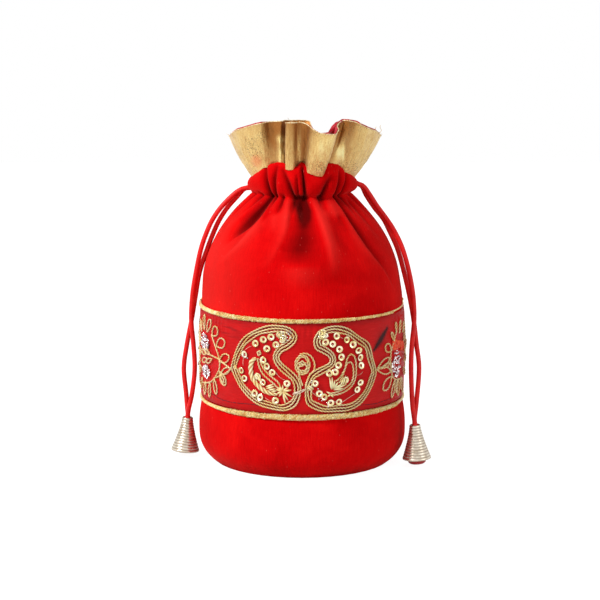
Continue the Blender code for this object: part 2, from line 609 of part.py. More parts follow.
def build_drawstring(name, side, height, drawn, front, back, top, foot, end):
    """One cord: bell, front strand, slit, once round the channel, slit, back strand, bell."""
    place = frame_of(top, foot)
    half = cord_diameter / 2 + 0.00015
    enter = neck_radius + channel_bulge - 0.5 * wall
    turn_in = loop_radius + 0.8 * cord_diameter

    def strand(points, sign):
        line = hang(points, side, height - drawn, enter, top)
        inside = [Vector((side * turn_in, sign * 1.1 * half, height)), Vector((side * enter, sign * half, height))]
        return inside + line + throat_points(place, sign, end)

    loop = []
    first = 0.13
    for k in range(25):
        angle = first + (2 * math.pi - 2 * first) * k / 24
        loop.append(Vector((side * loop_radius * math.cos(angle), -loop_radius * math.sin(angle), height)))
    line = smooth_line(strand(front, -1)[::-1] + loop + strand(back, 1), cord_step)
    curve = bpy.data.curves.new(name, "CURVE")
    curve.dimensions = "3D"
    curve.bevel_depth = cord_diameter / 2
    curve.bevel_resolution = 2
    curve.use_fill_caps = True
    spline = curve.splines.new("POLY")
    spline.points.add(len(line) - 1)
    for point, place_ in zip(spline.points, line):
        point.co = (*place_, 1.0)
    return add_object(name, curve, cord)


def turned_piece(name, profile, count, top, foot, finish):
    """A solid of revolution about a bell's axis; the profile is a closed list of distance down and radius."""
    place = frame_of(top, foot)
    rings = []
    for s, r in profile:
        if r == 0.0:
            rings.append([place(s, 0.0, 0.0)])
        else:
            turns = [2 * math.pi * k / count for k in range(count)]
            rings.append([place(s, r * math.cos(t), r * math.sin(t)) for t in turns])
    closed = profile[0][1] > 0.0
    return loft(name, rings, finish, closed=closed)


def build_bell(name, top, foot):
    """A ribbed, flared metal cup with an open throat that both strands pass through."""
    outer = [(0.0, bell_radius(0.0))]
    for k in range(bell_ribs):
        for share, out in ((0.35, bell_rib), (1.0, 0.0)):
            s = (k + share) / bell_ribs
            outer.append((s * bell_height, bell_radius(s) + out))
    throat = cord_diameter + 0.00015 + throat_clear
    inner = [(bell_height * s, max(bell_radius(s) - bell_wall, throat)) for s in (1.0, 0.75, 0.5, 0.25, 0.0)]
    return turned_piece(name, outer + inner, 16, top, foot, metal)


def build_stopper(name, top, foot, slip):
    seat = stopper_seat + slip
    head = bell_radius(stopper_seat / bell_height) - bell_wall - seam_gap
    profile = [
        (seat, 0.0), (seat, 0.7 * head), (seat + 0.0006, head), (seat + 0.6 * stopper_length, 0.9 * stopper_end),
        (seat + 0.9 * stopper_length, stopper_end), (seat + stopper_length, 0.7 * stopper_end),
        (seat + stopper_length, 0.0),
    ]
    return turned_piece(name, profile, 12, top, foot, wrap)


for old in list(bpy.data.objects):
    bpy.data.objects.remove(old, do_unlink=True)

velvet = material("Red velvet", (0.52, 0.006, 0.010), 0.75)
silk = material("Crimson silk", (0.42, 0.010, 0.016), 0.55)
gold = material("Gold zari cord", (0.72, 0.47, 0.14), 0.38, 0.8)
silver = material("Silver beads", (0.72, 0.68, 0.64), 0.3, 0.9)
tissue = material("Gold tissue", (0.66, 0.42, 0.15), 0.4, 0.7)
satin = material("Red satin lining", (0.55, 0.008, 0.03), 0.35)
cord = material("Red satin cord", (0.80, 0.012, 0.008), 0.4)
metal = material("Silver bell metal", (0.80, 0.76, 0.70), 0.2, 1.0)
wrap = material("Red stopper", (0.50, 0.006, 0.010), 0.6)

build_base()
build_velvet()
build_lining()
build_frill()
build_band()
build_piping("band_bottom_piping", band_low, low_piping)
build_piping("band_top_piping", band_high - high_piping, high_piping)
build_embroidery()
build_drawstring("drawstring_left", -1, left_cord_height, 0.1693, left_front_strand, left_back_strand,
                 left_bell_top, left_bell_foot, stopper_seat - seam_gap)
build_drawstring("drawstring_right", 1, right_cord_height, 0.1721, right_front_strand, right_back_strand,
                 right_bell_top, right_bell_foot, stopper_seat + stopper_slip - seam_gap)
build_bell("bell_left", left_bell_top, left_bell_foot)
build_bell("bell_right", right_bell_top, right_bell_foot)
build_stopper("stopper_left", left_bell_top, left_bell_foot, 0.0)
build_stopper("stopper_right", right_bell_top, right_bell_foot, stopper_slip)
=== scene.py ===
import math

import bpy
import numpy as np
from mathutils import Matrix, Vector


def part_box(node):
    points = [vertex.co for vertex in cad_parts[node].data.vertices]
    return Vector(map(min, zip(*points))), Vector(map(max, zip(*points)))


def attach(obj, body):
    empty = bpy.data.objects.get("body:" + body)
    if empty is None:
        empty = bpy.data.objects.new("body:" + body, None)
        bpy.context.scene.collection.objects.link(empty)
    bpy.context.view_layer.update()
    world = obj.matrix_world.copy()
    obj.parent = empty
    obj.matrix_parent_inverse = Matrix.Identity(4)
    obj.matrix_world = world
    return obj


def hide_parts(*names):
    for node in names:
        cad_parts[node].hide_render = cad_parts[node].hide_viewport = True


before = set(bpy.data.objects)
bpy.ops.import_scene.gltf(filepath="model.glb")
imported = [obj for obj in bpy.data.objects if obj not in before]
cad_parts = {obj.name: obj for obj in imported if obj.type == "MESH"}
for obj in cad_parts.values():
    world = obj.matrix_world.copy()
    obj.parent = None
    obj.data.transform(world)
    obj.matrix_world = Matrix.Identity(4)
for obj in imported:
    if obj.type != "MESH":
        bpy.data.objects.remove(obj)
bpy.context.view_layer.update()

dice = np.random.default_rng(11)


# Shader maths: a Wire is one socket of a material, and sums on it add Math nodes
class Wire:
    def __init__(self, finish, socket):
        self.finish = finish
        self.socket = socket

    def maths(self, operation, first, second=0.0):
        return self.finish.maths(operation, first, second)

    def __add__(self, other):
        return self.maths("ADD", self, other)

    def __radd__(self, other):
        return self.maths("ADD", other, self)

    def __sub__(self, other):
        return self.maths("SUBTRACT", self, other)

    def __rsub__(self, other):
        return self.maths("SUBTRACT", other, self)

    def __mul__(self, other):
        return self.maths("MULTIPLY", self, other)

    def __rmul__(self, other):
        return self.maths("MULTIPLY", other, self)

    def __truediv__(self, other):
        return self.maths("DIVIDE", self, other)

    def __rtruediv__(self, other):
        return self.maths("DIVIDE", other, self)

    def __pow__(self, other):
        return self.maths("POWER", self, other)

    def limit(self):
        return self.maths("MINIMUM", self.maths("MAXIMUM", self, 0.0), 1.0)

    def wave(self):
        return self.maths("SINE", self)


class Finish:
    def __init__(self, name, **constants):
        self.material = bpy.data.materials.new(name)
        self.material.use_nodes = True
        self.tree = self.material.node_tree
        self.shader = self.tree.nodes["Principled BSDF"]
        for key, value in constants.items():
            socket = self.shader.inputs[key.replace("_", " ")]
            socket.default_value = (*value, 1.0) if isinstance(value, tuple) and len(value) == 3 and key != "Specular_Tint" else value

    def add(self, kind, settings=None, sockets=None, output=0):
        node = self.tree.nodes.new(kind)
        for key, value in (settings or {}).items():
            if key == "stops":
                ramp = node.color_ramp
                while len(ramp.elements) < len(value):
                    ramp.elements.new(0.5)
                for element, (place, shade) in zip(ramp.elements, value):
                    element.position = place
                    element.color = (*shade, 1.0) if isinstance(shade, tuple) else (shade, shade, shade, 1.0)
            else:
                setattr(node, key, value)
        for key, value in (sockets or {}).items():
            self.plug(node.inputs[key], value)
        return Wire(self, node.outputs[output])

    def plug(self, socket, value):
        if isinstance(value, Wire):
            self.tree.links.new(value.socket, socket)
        elif isinstance(value, tuple) and len(value) == 3 and socket.type == "RGBA":
            socket.default_value = (*value, 1.0)
        else:
            socket.default_value = value

    def maths(self, operation, first, second=0.0):
        return self.add("ShaderNodeMath", {"operation": operation}, {0: first, 1: second})

    def place(self):
        return self.add("ShaderNodeTexCoord", output="Object")

    def cloth(self):
        return self.add("ShaderNodeUVMap", {"uv_map": "cloth"})

    def stretch(self, vector, scale):
        return self.add("ShaderNodeVectorMath", {"operation": "MULTIPLY"}, {0: vector, 1: scale})

    def shift(self, vector, other):
        return self.add("ShaderNodeVectorMath", {"operation": "ADD"}, {0: vector, 1: other})

    def noise(self, vector, scale, detail=3.0, roughness=0.55, distortion=0.0):
        sockets = {"Vector": vector, "Scale": scale, "Detail": detail, "Roughness": roughness, "Distortion": distortion}
        return self.add("ShaderNodeTexNoise", None, sockets)

    def cells(self, vector, scale, feature="F1"):
        return self.add("ShaderNodeTexVoronoi", {"feature": feature}, {"Vector": vector, "Scale": scale})

    def ramp(self, value, *stops):
        return self.add("ShaderNodeValToRGB", {"stops": stops}, {0: value})

    def blend(self, factor, first, second, kind="MIX"):
        settings = {"data_type": "RGBA", "blend_type": kind, "clamp_factor": True}
        return self.add("ShaderNodeMix", settings, {0: factor, 6: first, 7: second}, output=2)

    def mask(self, name):
        return self.add("ShaderNodeAttribute", {"attribute_name": name}, output="Fac")

    def give(self, **links):
        for key, value in links.items():
            self.plug(self.shader.inputs[key.replace("_", " ")], value)

    def bump(self, *layers):
        # each layer is a height wire, a distance in metres and a strength
        normal = None
        for height, distance, strength in layers:
            sockets = {"Height": height, "Distance": distance, "Strength": strength}
            if normal:
                sockets["Normal"] = normal
            normal = self.add("ShaderNodeBump", None, sockets)
        self.give(Normal=normal)


def paint(red, green, blue):
    # an 8-bit screen colour as the linear colour that a shader takes
    made = []
    for value in (red, green, blue):
        value /= 255
        made.append(value / 12.92 if value <= 0.04045 else ((value + 0.055) / 1.055) ** 2.4)
    return tuple(made)


# Mesh helpers
class Pile:
    # gathers strips of points into one mesh
    def __init__(self):
        self.points, self.faces, self.corners, self.shades, self.count = [], [], [], [], 0

    def strip(self, grid, around=True, along=False, uv=None, shade=None, flip=False, caps=False):
        # rows run along, columns run around; uv has one more column where the strip closes
        rows, columns = grid.shape[:2]
        number = np.arange(rows * columns).reshape(rows, columns) + self.count
        wide = np.concatenate([number, number[:, :1]], 1) if around else number
        if along:
            wide = np.concatenate([wide, wide[:1]], 0)
        a, b = wide[:-1, :-1], wide[:-1, 1:]
        c, d = wide[1:, 1:], wide[1:, :-1]
        quads = np.stack([a, b, c, d], -1).reshape(-1, 4)
        if uv is None:
            corner = np.zeros((len(quads), 4, 2))
        else:
            corner = np.stack([uv[:-1, :-1], uv[:-1, 1:], uv[1:, 1:], uv[1:, :-1]], 2).reshape(-1, 4, 2)
        if flip:
            quads, corner = quads[:, ::-1], corner[:, ::-1]
        self.faces.append(quads)
        self.corners.append(corner)
        self.points.append(grid.reshape(-1, 3))
        self.shades.append(np.zeros(rows * columns) if shade is None else np.broadcast_to(shade, (rows, columns)).reshape(-1))
        self.count += rows * columns
        if caps:
            for row, turn in ((number[0], -1), (number[-1], 1)):
                self.cap(row[::turn], grid[0 if turn < 0 else -1].mean(0))

    def cap(self, ring, centre):
        middle = self.count
        self.points.append(centre.reshape(1, 3))
        self.shades.append(np.zeros(1))
        self.count += 1
        following = np.roll(ring, -1)
        for a, b in zip(ring, following):
            self.faces.append(np.array([[a, b, middle, -1]]))
            self.corners.append(np.zeros((1, 4, 2)))

    def make(self, name, finish, smooth=True):
        mesh = bpy.data.meshes.new(name)
        points = np.concatenate(self.points)
        faces = np.concatenate(self.faces)
        corners = np.concatenate(self.corners)
        sizes = np.where(faces[:, 3] < 0, 3, 4)
        keep = faces.reshape(-1) >= 0
        mesh.vertices.add(len(points))
        mesh.vertices.foreach_set("co", points.astype(np.float32).reshape(-1))
        mesh.loops.add(int(sizes.sum()))
        mesh.loops.foreach_set("vertex_index", faces.reshape(-1)[keep].astype(np.int32))
        mesh.polygons.add(len(faces))
        mesh.polygons.foreach_set("loop_start", (np.cumsum(sizes) - sizes).astype(np.int32))
        mesh.polygons.foreach_set("use_smooth", np.full(len(faces), smooth))
        mesh.update(calc_edges=True)
        layer = mesh.uv_layers.new(name="cloth")
        layer.data.foreach_set("uv", corners.reshape(-1, 2)[keep].astype(np.float32).reshape(-1))
        shade = mesh.attributes.new("shade", "FLOAT", "POINT")
        shade.data.foreach_set("value", np.concatenate(self.shades).astype(np.float32))
        mesh.validate()
        made = bpy.data.objects.new(name, mesh)
        bpy.context.scene.collection.objects.link(made)
        mesh.materials.append(finish.material)
        return made


def around(angle, radius, height):
    # a point from its angle off the front, towards the right, its radius and its height
    return np.stack(np.broadcast_arrays(radius * np.sin(angle), -radius * np.cos(angle), height), -1)


def smoothStep(value):
    t = np.clip(value, 0.0, 1.0)
    return t * t * (3.0 - 2.0 * t)


def ripple(angle, height, scale, seed):
    # slow noise over the cloth, from a few sines that close round the bag
    own = np.random.default_rng(seed)
    total = 0.0
    for k in range(7):
        turns = int(own.integers(2, 9) * scale)
        total = total + np.sin(turns * angle + own.uniform(0, 6.3) + height * own.uniform(-90, 90) * scale) * own.uniform(0.5, 1.0)
    return total / 3.5


def fineCurve(points, step, closed=False):
    # a smooth curve through the points, then even steps along it
    points = np.asarray(points, float)
    n = len(points)
    if closed:
        padded = np.concatenate([points[-1:], points, points[:2]])
        spans = n
    else:
        padded = np.concatenate([2 * points[:1] - points[1:2], points, 2 * points[-1:] - points[-2:-1]])
        spans = n - 1
    t = np.linspace(0, 1, 12, endpoint=False)[:, None]
    fine = []
    for i in range(spans):
        p = padded[i:i + 4]
        fine.append(0.5 * (2 * p[1] + (p[2] - p[0]) * t + (2 * p[0] - 5 * p[1] + 4 * p[2] - p[3]) * t ** 2
                           + (3 * p[1] - p[0] - 3 * p[2] + p[3]) * t ** 3))
    fine.append(points[:1] if closed else points[-1:])
    return evenly(np.concatenate(fine), step)


def evenly(line, step):
    lengths = np.linalg.norm(np.diff(line, axis=0), axis=1)
    along = np.concatenate([[0.0], np.cumsum(lengths)])
    count = max(int(round(along[-1] / step)), 2)
    want = np.linspace(0, along[-1], count + 1)
    return np.stack([np.interp(want, along, line[:, k]) for k in range(line.shape[1])], 1)


def frames(line, up=None, closed=False):
    # tangents and two directions across, carried along the line without twist, or held to a given direction
    if closed:
        tangent = np.roll(line, -1, 0) - np.roll(line, 1, 0)
    else:
        tangent = np.gradient(line, axis=0)
    tangent /= np.maximum(np.linalg.norm(tangent, axis=1, keepdims=True), 1e-12)
    if up is None:
        first = np.cross(tangent[0], (0.3, 0.9, 0.2))
        side = [first / np.linalg.norm(first)]
        for k in range(1, len(line)):
            turned = side[-1] - tangent[k] * np.dot(side[-1], tangent[k])
            side.append(turned / np.linalg.norm(turned))
        side = np.array(side)
    else:
        side = np.cross(up, tangent)
        side /= np.maximum(np.linalg.norm(side, axis=1, keepdims=True), 1e-12)
    return tangent, side, np.cross(tangent, side)


def tube(pile, line, radius, sides=8, closed=False, up=None, twist=0.0, lobe=0.0, flat=1.0, shade=None, start=0.0, plies=2):
    # a round or twisted thread along a line; twist is the length of one turn, lobe how deep its plies are cut
    if closed:
        line = line[:-1]
    tangent, side, out = frames(line, up, closed)
    gaps = np.linalg.norm(np.diff(line, axis=0), axis=1)
    along = np.concatenate([[0.0], np.cumsum(gaps)]) + start
    if closed and twist:
        whole = along[-1] + gaps.mean() - start
        twist = whole / max(round(whole / twist), 1)
    turn = np.linspace(0, 2 * np.pi, sides, endpoint=False)[None, :]
    size = np.broadcast_to(np.asarray(radius, float), (len(line),))[:, None]
    if twist:
        swing = np.cos(plies * turn - 2 * np.pi * along[:, None] / twist)
        size = size * (1 + lobe * swing)
        # painted shade in the grooves between the plies
        shade = (0.5 - 0.5 * swing) ** 1.5 if shade is None else shade
    grid = line[:, None] + side[:, None] * (size * np.cos(turn))[..., None] + out[:, None] * (size * np.sin(turn) * flat)[..., None]
    pile.strip(grid, around=True, along=closed, shade=shade, caps=not closed, flip=False)


# Camera: long lens, a little above the bag
view = {"distance": 1.300, "pitch": 10.294, "lens": 125.76, "side": -0.001351, "aim": 0.09908}
camera = bpy.data.objects.new("Camera", bpy.data.cameras.new("Camera"))
bpy.context.scene.collection.objects.link(camera)
pitch = math.radians(view["pitch"])
camera.location = (view["side"], -view["distance"] * math.cos(pitch), view["aim"] + view["distance"] * math.sin(pitch))
camera.rotation_euler = (math.pi / 2 - pitch, 0.0, 0.0)
camera.data.lens = view["lens"]
camera.data.sensor_width = 36.0
camera.data.clip_start = 0.05
bpy.context.scene.camera = camera
print("camera placed")


# Drawstrings: satin cord through the channel, two free strands on each side
cords = {
    "diameter": 0.0030, "between": 0.0032, "loopRadius": 0.0248, "enter": 0.0331, "first": 0.13,
    "leftHeight": 0.1693, "rightHeight": 0.1721,
    "leftTop": (-0.0717, 0.0, 0.0246), "leftFoot": (-0.0734, 0.0, 0.0036),
    "rightTop": (0.0692, -0.0260, 0.0260), "rightFoot": (0.0706, -0.0260, 0.0050),
    "leftEnd": 0.0047, "rightEnd": 0.0087,
}
leftFrontStrand = [
    (-0.0368, -0.0014, 0.1687), (-0.0419, -0.0014, 0.1654), (-0.0493, -0.0014, 0.1580), (-0.0546, -0.0014, 0.1506),
    (-0.0583, -0.0014, 0.1431), (-0.0623, -0.0014, 0.1319), (-0.0656, -0.0014, 0.1169), (-0.0680, -0.0014, 0.1019),
    (-0.0688, -0.0016, 0.0867), (-0.0676, -0.0016, 0.0715), (-0.0669, -0.0015, 0.0563), (-0.0686, -0.0016, 0.0409),
    (-0.0710, -0.0015, 0.0300),
]
leftBackStrand = [
    (-0.0362, 0.0014, 0.1679), (-0.0393, 0.0014, 0.1644), (-0.0457, 0.0014, 0.1572), (-0.0504, 0.0014, 0.1502),
    (-0.0541, 0.0014, 0.1427), (-0.0585, 0.0014, 0.1315), (-0.0635, 0.0014, 0.1165), (-0.0662, 0.0014, 0.1013),
    (-0.0688, 0.0016, 0.0862), (-0.0718, 0.0016, 0.0710), (-0.0739, 0.0015, 0.0557), (-0.0727, 0.0016, 0.0403),
    (-0.0720, 0.0015, 0.0300),
]
rightFrontStrand = [
    (0.0374, -0.0014, 0.1705), (0.0412, -0.0018, 0.1655), (0.0459, -0.0030, 0.1583), (0.0514, -0.0042, 0.1510),
    (0.0562, -0.0058, 0.1438), (0.0615, -0.0076, 0.1328), (0.0656, -0.0102, 0.1183), (0.0681, -0.0130, 0.1038),
    (0.0687, -0.0158, 0.0892), (0.0673, -0.0185, 0.0747), (0.0668, -0.0212, 0.0602), (0.0675, -0.0246, 0.0402),
    (0.0686, -0.0270, 0.0310),
]
rightBackStrand = [
    (0.0368, 0.0013, 0.1698), (0.0392, 0.0010, 0.1648), (0.0442, -0.0003, 0.1572), (0.0500, -0.0015, 0.1500),
    (0.0537, -0.0030, 0.1428), (0.0586, -0.0046, 0.1320), (0.0626, -0.0072, 0.1179), (0.0660, -0.0100, 0.1033),
    (0.0686, -0.0126, 0.0887), (0.0703, -0.0153, 0.0741), (0.0719, -0.0182, 0.0596), (0.0703, -0.0220, 0.0395),
    (0.0692, -0.0244, 0.0310),
]

satinCord = Finish("Red satin cord", Roughness=0.46, Specular_IOR_Level=0.3, Sheen_Weight=0.06, Sheen_Roughness=0.4, Sheen_Tint=(1.0, 0.2, 0.15, 1.0))
grain = satinCord.noise(satinCord.place(), 900.0, 2.0)
shine = satinCord.noise(satinCord.place(), 160.0, 2.0)
satinCord.give(Base_Color=satinCord.ramp(shine, (0.3, paint(216, 10, 12)), (0.7, paint(242, 24, 20))))
satinCord.bump((grain, 0.0002, 0.5))


def bellFrame(top, foot):
    # places a point by its distance down a bell and its offsets across
    top, foot = np.array(top), np.array(foot)
    down = (foot - top) / np.linalg.norm(foot - top)
    across = np.array((0.0, 1.0, 0.0)) - down * down[1]
    across /= np.linalg.norm(across)
    other = np.cross(down, across)
    return lambda s, a, b: top + down * s + across * a + other * b


def addCord(name, line):
    curve = bpy.data.curves.new(name, "CURVE")
    curve.dimensions = "3D"
    curve.bevel_depth = cords["diameter"] / 2
    curve.bevel_resolution = 4
    curve.use_fill_caps = True
    spline = curve.splines.new("POLY")
    spline.points.add(len(line) - 1)
    spline.points.foreach_set("co", np.concatenate([line, np.ones((len(line), 1))], 1).reshape(-1))
    spline.use_smooth = True
    made = bpy.data.objects.new(name, curve)
    bpy.context.scene.collection.objects.link(made)
    curve.materials.append(satinCord.material)
    return made


strands = {}
for hand, side in (("left", -1), ("right", 1)):
    half = cords["between"] / 2
    height = cords[hand + "Height"]
    place = bellFrame(cords[hand + "Top"], cords[hand + "Foot"])
    end = cords[hand + "End"]
    turnIn = cords["loopRadius"] + 0.8 * cords["diameter"]
    pairs = {"left": (leftFrontStrand, leftBackStrand), "right": (rightFrontStrand, rightBackStrand)}[hand]
    mouth = []
    for which, sign, points in (("front", -1, pairs[0]), ("back", 1, pairs[1])):
        start = [(side * cords["enter"], sign * half, height)]
        throat = [tuple(place(s, sign * half, 0.0)) for s in (-0.0012, 0.5 * end, end)]
        nudge = sign * (half - 0.0014)
        line = fineCurve(start + [(x, y + nudge, z) for x, y, z in points] + throat, 0.0020)
        strands[hand, which] = line
        mouth.append([(side * turnIn, sign * 1.1 * half, height), (side * cords["enter"], sign * half, height)])
    first = cords["first"]
    turns = np.linspace(first, 2 * np.pi - first, 25)
    ring = [(side * cords["loopRadius"] * math.cos(t), -cords["loopRadius"] * math.sin(t), height) for t in turns]
    strands[hand, "loop"] = fineCurve(mouth[0][::-1] + ring + mouth[1], 0.0025)

strandPieces = {}
for (hand, which), line in strands.items():
    strandPieces[hand, which] = addCord(f"{hand}Cord{which.capitalize()}", line)
print("drawstrings laid")


# Velvet body
velvetCloth = {
    "columns": 420, "bandRadius": 0.0634, "bandLow": 0.0376, "bandHigh": 0.0989,
    "bulge": 0.0643, "bulgeHeight": 0.0210, "base": 0.0550, "waist": 0.0614, "shoulder": 0.0615,
    "shoulderStart": 0.1029, "neck": 0.0305, "neckHeight": 0.1666, "power": 2.2, "swell": 0.0031,
    "lipRadius": 0.0320, "lean": 0.0007,
}
# height of the velvet's upper edge round the bag: degrees off the front, millimetres
lipLine = [(-180, 178), (-150, 177), (-120, 178.5), (-90, 176), (-74, 177.5), (-58, 181.4), (-44, 184.7), (-29, 187.1),
           (-19.5, 186.8), (-16.5, 184.4), (-5.5, 184.8), (-2, 187.6), (4, 186.4), (7.5, 182.7), (21, 180.3), (24, 180.6),
           (28, 186.3), (42, 186), (55, 181.1), (72, 178), (90, 175.2), (118, 177.5), (150, 178.6), (180, 178)]
# creases and ridges: points of height in mm, degrees off the front, depth in mm (a ridge is negative); width in mm
frontFolds = [
    # channel creases, carried on into the shoulder
    (1.5, 1.5, [(186, -44, 0), (183, -43.5, 2.0), (175, -41, 3.2), (168, -39.5, 3.8), (163, -41, 2.6), (155, -46, 1.2), (146, -50, 0)]),
    (1.2, 1.2, [(188, -28, 0), (185, -28, 1.4), (178, -30, 2.6), (168, -32, 3.0), (161, -33, 1.6), (152, -34, 0)]),
    (1.8, 1.2, [(186, -21, 0), (183, -20, 1.8), (176, -14, 2.8), (169, -10, 3.4), (164, -8, 3.2), (158, -9, 1.4), (152, -10, 0)]),
    (0.9, 0.9, [(182, -5.6, 0), (178, -5.4, 1.8), (170, -4.8, 2.4), (164, -5, 0)]),
    (1.0, 1.3, [(188, 0, 0), (184, 0, 2.8), (176, 1.4, 3.8), (169, 2.5, 4.2), (165, 2, 1.5), (160, 2, 0)]),
    (2.2, 1.4, [(182, 33, 0), (178, 29, 2.2), (173, 25, 3.2), (168, 22.5, 3.8), (163, 22.5, 1.8), (158, 23, 0)]),
    (1.2, 1.2, [(185, 43, 0), (181, 43, 2.0), (174, 42, 3.0), (168, 41, 3.2), (163, 41, 1.2), (160, 41, 0)]),
    (1.2, 1.2, [(183, 55, 0), (179, 54, 1.8), (172, 51, 2.8), (168, 50, 3.0), (164, 52, 1.6), (150, 56, 0)]),
    # the long dark fold on the left: steep under its ridge, soft towards the side
    (7.6, 2.9, [(169, -37, 0), (165, -38, 1.8), (160, -40, 3.3), (155, -43, 4.6), (150, -47, 4.8), (146, -51.5, 3.6), (142, -56, 1.8), (136, -62, 0)]),
    (2.2, 3.4, [(167, -33, 0), (161, -33.5, -1.4), (153, -36, -2.3), (146, -40, -2.3), (139, -45, -1.6), (132, -53, -0.6), (126, -60, 0)]),
    (3.0, 3.0, [(167, -54, 0), (162, -57, -1.4), (155, -62, -1.7), (148, -68, -0.8), (144, -72, 0)]),
    # a small pocket with the lobe round it
    (1.2, 1.6, [(170, -23, 0), (166, -22.5, 3.4), (162, -22, 3.2), (159, -22.5, 1.6), (157, -24, 0)]),
    (2.4, 2.4, [(159, -24, 0), (156.5, -23, -1.1), (152, -22, -0.9), (147, -21, 0)]),
    (1.8, 1.8, [(161, -30, 0), (158, -30.5, 1.4), (154, -33, 0.8), (150, -35, 0)]),
    # the round ridge left of the middle pocket, the pocket, and the slow hollow under both
    (3.6, 2.4, [(169, -15, 0), (165, -14.5, -1.8), (157, -12.5, -2.6), (149, -13, -2.0), (142, -15, -1.2), (134, -19, -0.6), (126, -24, 0)]),
    (3.4, 5.0, [(169, -1.5, 0), (167, -1.6, 3.6), (163, -0.8, 6.2), (159.5, 0.6, 7.8), (156, 1.4, 5.4), (152.5, 1.6, 2.2), (149, 1.4, 0.7), (144, 1, 0)]),
    (9.5, 9.5, [(157, 1, 0), (151, 1, 1.5), (144, 0, 2.7), (138, -1, 2.7), (132, -2, 1.3), (127, -3, 0)]),
    (8.5, 8.5, [(132, -2, 0), (128.5, -2, -1.1), (124, -1, -1.1), (116, 1, 0)]),
    # ridge that runs down to the right of the middle pocket and swings left at its foot
    (2.2, 4.4, [(169, 9, 0), (166, 10, -1.7), (160, 13.6, -2.4), (152, 16, -2.8), (144, 17.5, -2.5), (136, 18.5, -1.6), (129, 19, -0.7), (122, 18, 0)]),
    (3.2, 5.0, [(160, 26, 0), (154, 26, 1.0), (146, 27, 1.5), (138, 29, 1.0), (130, 31, 0)]),
    # short creases on the right
    (1.2, 1.0, [(169, 18, 0), (166, 19, 2.4), (163, 19.5, 1.6), (159, 20, 0)]),
    (3.0, 2.6, [(167, 29, 0), (162, 29, -1.4), (157, 30, -1.3), (152, 31, 0)]),
    (2.2, 2.2, [(158, 33, 0), (155, 34, 1.1), (151, 35, 0.7), (146, 36, 0)]),
    # the long fold line on the right: a sharp step with a dark panel beyond it
    (0.8, 5.2, [(169, 43, 0), (165, 41.5, 2.4), (159, 41.8, 2.7), (153, 43, 2.9), (146, 45.5, 2.9), (138, 49, 2.4), (130, 54, 1.8), (122, 60, 1.2), (114, 65, 0.6), (107, 70, 0)]),
    (3.6, 1.2, [(165, 38, 0), (158, 38.5, -1.0), (149, 40.5, -1.2), (140, 43.5, -1.2), (131, 49, -0.8), (123, 55, 0)]),
    (2.2, 2.2, [(166, 60, 0), (162, 60, 1.8), (154, 63, 1.3), (146, 66, 0.8), (138, 70, 0)]),
    (1.8, 1.8, [(170, -56, 0), (167, -55, 2.6), (162, -57, 2.2), (156, -62, 1.2), (148, -68, 0)]),
    (2.0, 2.0, [(170, 72, 0), (167, 73, 2.4), (160, 74, 1.6), (150, 78, 0)]),
    (2.0, 2.0, [(170, -72, 0), (167, -72, 2.2), (160, -75, 1.4), (150, -79, 0)]),
]
# folds at the sides and the back
backFolds = [
    (2.3, 2.3, [(181, 100, 0), (176, 100, 2.8), (168, 100, 3.9), (162, 100, 3.5), (148, 102, 2.4), (133, 105, 0)]),
    (1.8, 1.8, [(181, 112, 0), (176, 113, 2.3), (168, 113, 3.3), (162, 112, 3.0), (157, 109, 2.0), (151, 106, 0)]),
    (2.0, 3.0, [(181, 125, 0), (176, 124, 2.9), (168, 124, 4.2), (162, 123, 3.8), (152, 120, 2.5), (142, 117, 0)]),
    (1.8, 1.8, [(181, 139, 0), (176, 136, 2.9), (168, 136, 4.2), (162, 136, 3.7), (158, 136, 2.5), (153, 135, 0)]),
    (3.4, 2.0, [(181, 154, 0), (176, 152, 2.4), (168, 152, 3.5), (162, 152, 3.1), (146, 152, 2.1), (129, 151, 0)]),
    (1.9, 1.9, [(181, 166, 0), (176, 164, 2.2), (168, 164, 3.2), (162, 164, 2.9), (155, 164, 1.9), (147, 165, 0)]),
    (2.1, 2.8, [(181, 174, 0), (176, 175, 2.8), (168, 175, 4.0), (162, 175, 3.6), (150, 177, 2.4), (138, 178, 0)]),
    (1.8, 1.8, [(181, 193, 0), (176, 192, 2.0), (168, 192, 2.8), (162, 192, 2.5), (157, 195, 1.7), (151, 198, 0)]),
    (2.3, 3.4, [(181, 201, 0), (176, 203, 2.4), (168, 203, 3.4), (162, 203, 3.1), (148, 203, 2.0), (133, 203, 0)]),
    (1.8, 1.8, [(181, 213, 0), (176, 216, 2.3), (168, 216, 3.2), (162, 216, 2.9), (157, 218, 1.9), (151, 220, 0)]),
    (2.0, 2.0, [(181, 229, 0), (176, 231, 2.7), (168, 231, 3.9), (162, 231, 3.5), (152, 230, 2.4), (142, 230, 0)]),
    (1.8, 1.8, [(181, 244, 0), (176, 244, 2.5), (168, 244, 3.5), (162, 244, 3.2), (158, 246, 2.1), (153, 248, 0)]),
    (2.4, 2.4, [(181, 254, 0), (176, 256, 2.9), (168, 256, 4.1), (162, 255, 3.7), (146, 252, 2.5), (129, 248, 0)]),
]
backRidges = [
    (2.4, 2.4, [(166, 106, 0), (155, 105, -1.2), (142, 104, -0.8), (130, 103, 0)]),
    (2.4, 2.4, [(166, 130, 0), (156, 129, -1.3), (144, 126, -0.8), (134, 122, 0)]),
    (2.6, 2.6, [(166, 158, 0), (153, 158, -1.4), (138, 158, -0.9), (124, 157, 0)]),
    (2.4, 2.4, [(166, 184, 0), (156, 185, -1.2), (142, 186, -0.7), (132, 188, 0)]),
    (2.6, 2.6, [(166, 209, 0), (153, 210, -1.3), (138, 211, -0.8), (126, 211, 0)]),
    (2.4, 2.4, [(166, 237, 0), (155, 238, -1.2), (143, 238, -0.7), (133, 238, 0)]),
]
allFolds = frontFolds + backFolds + backRidges


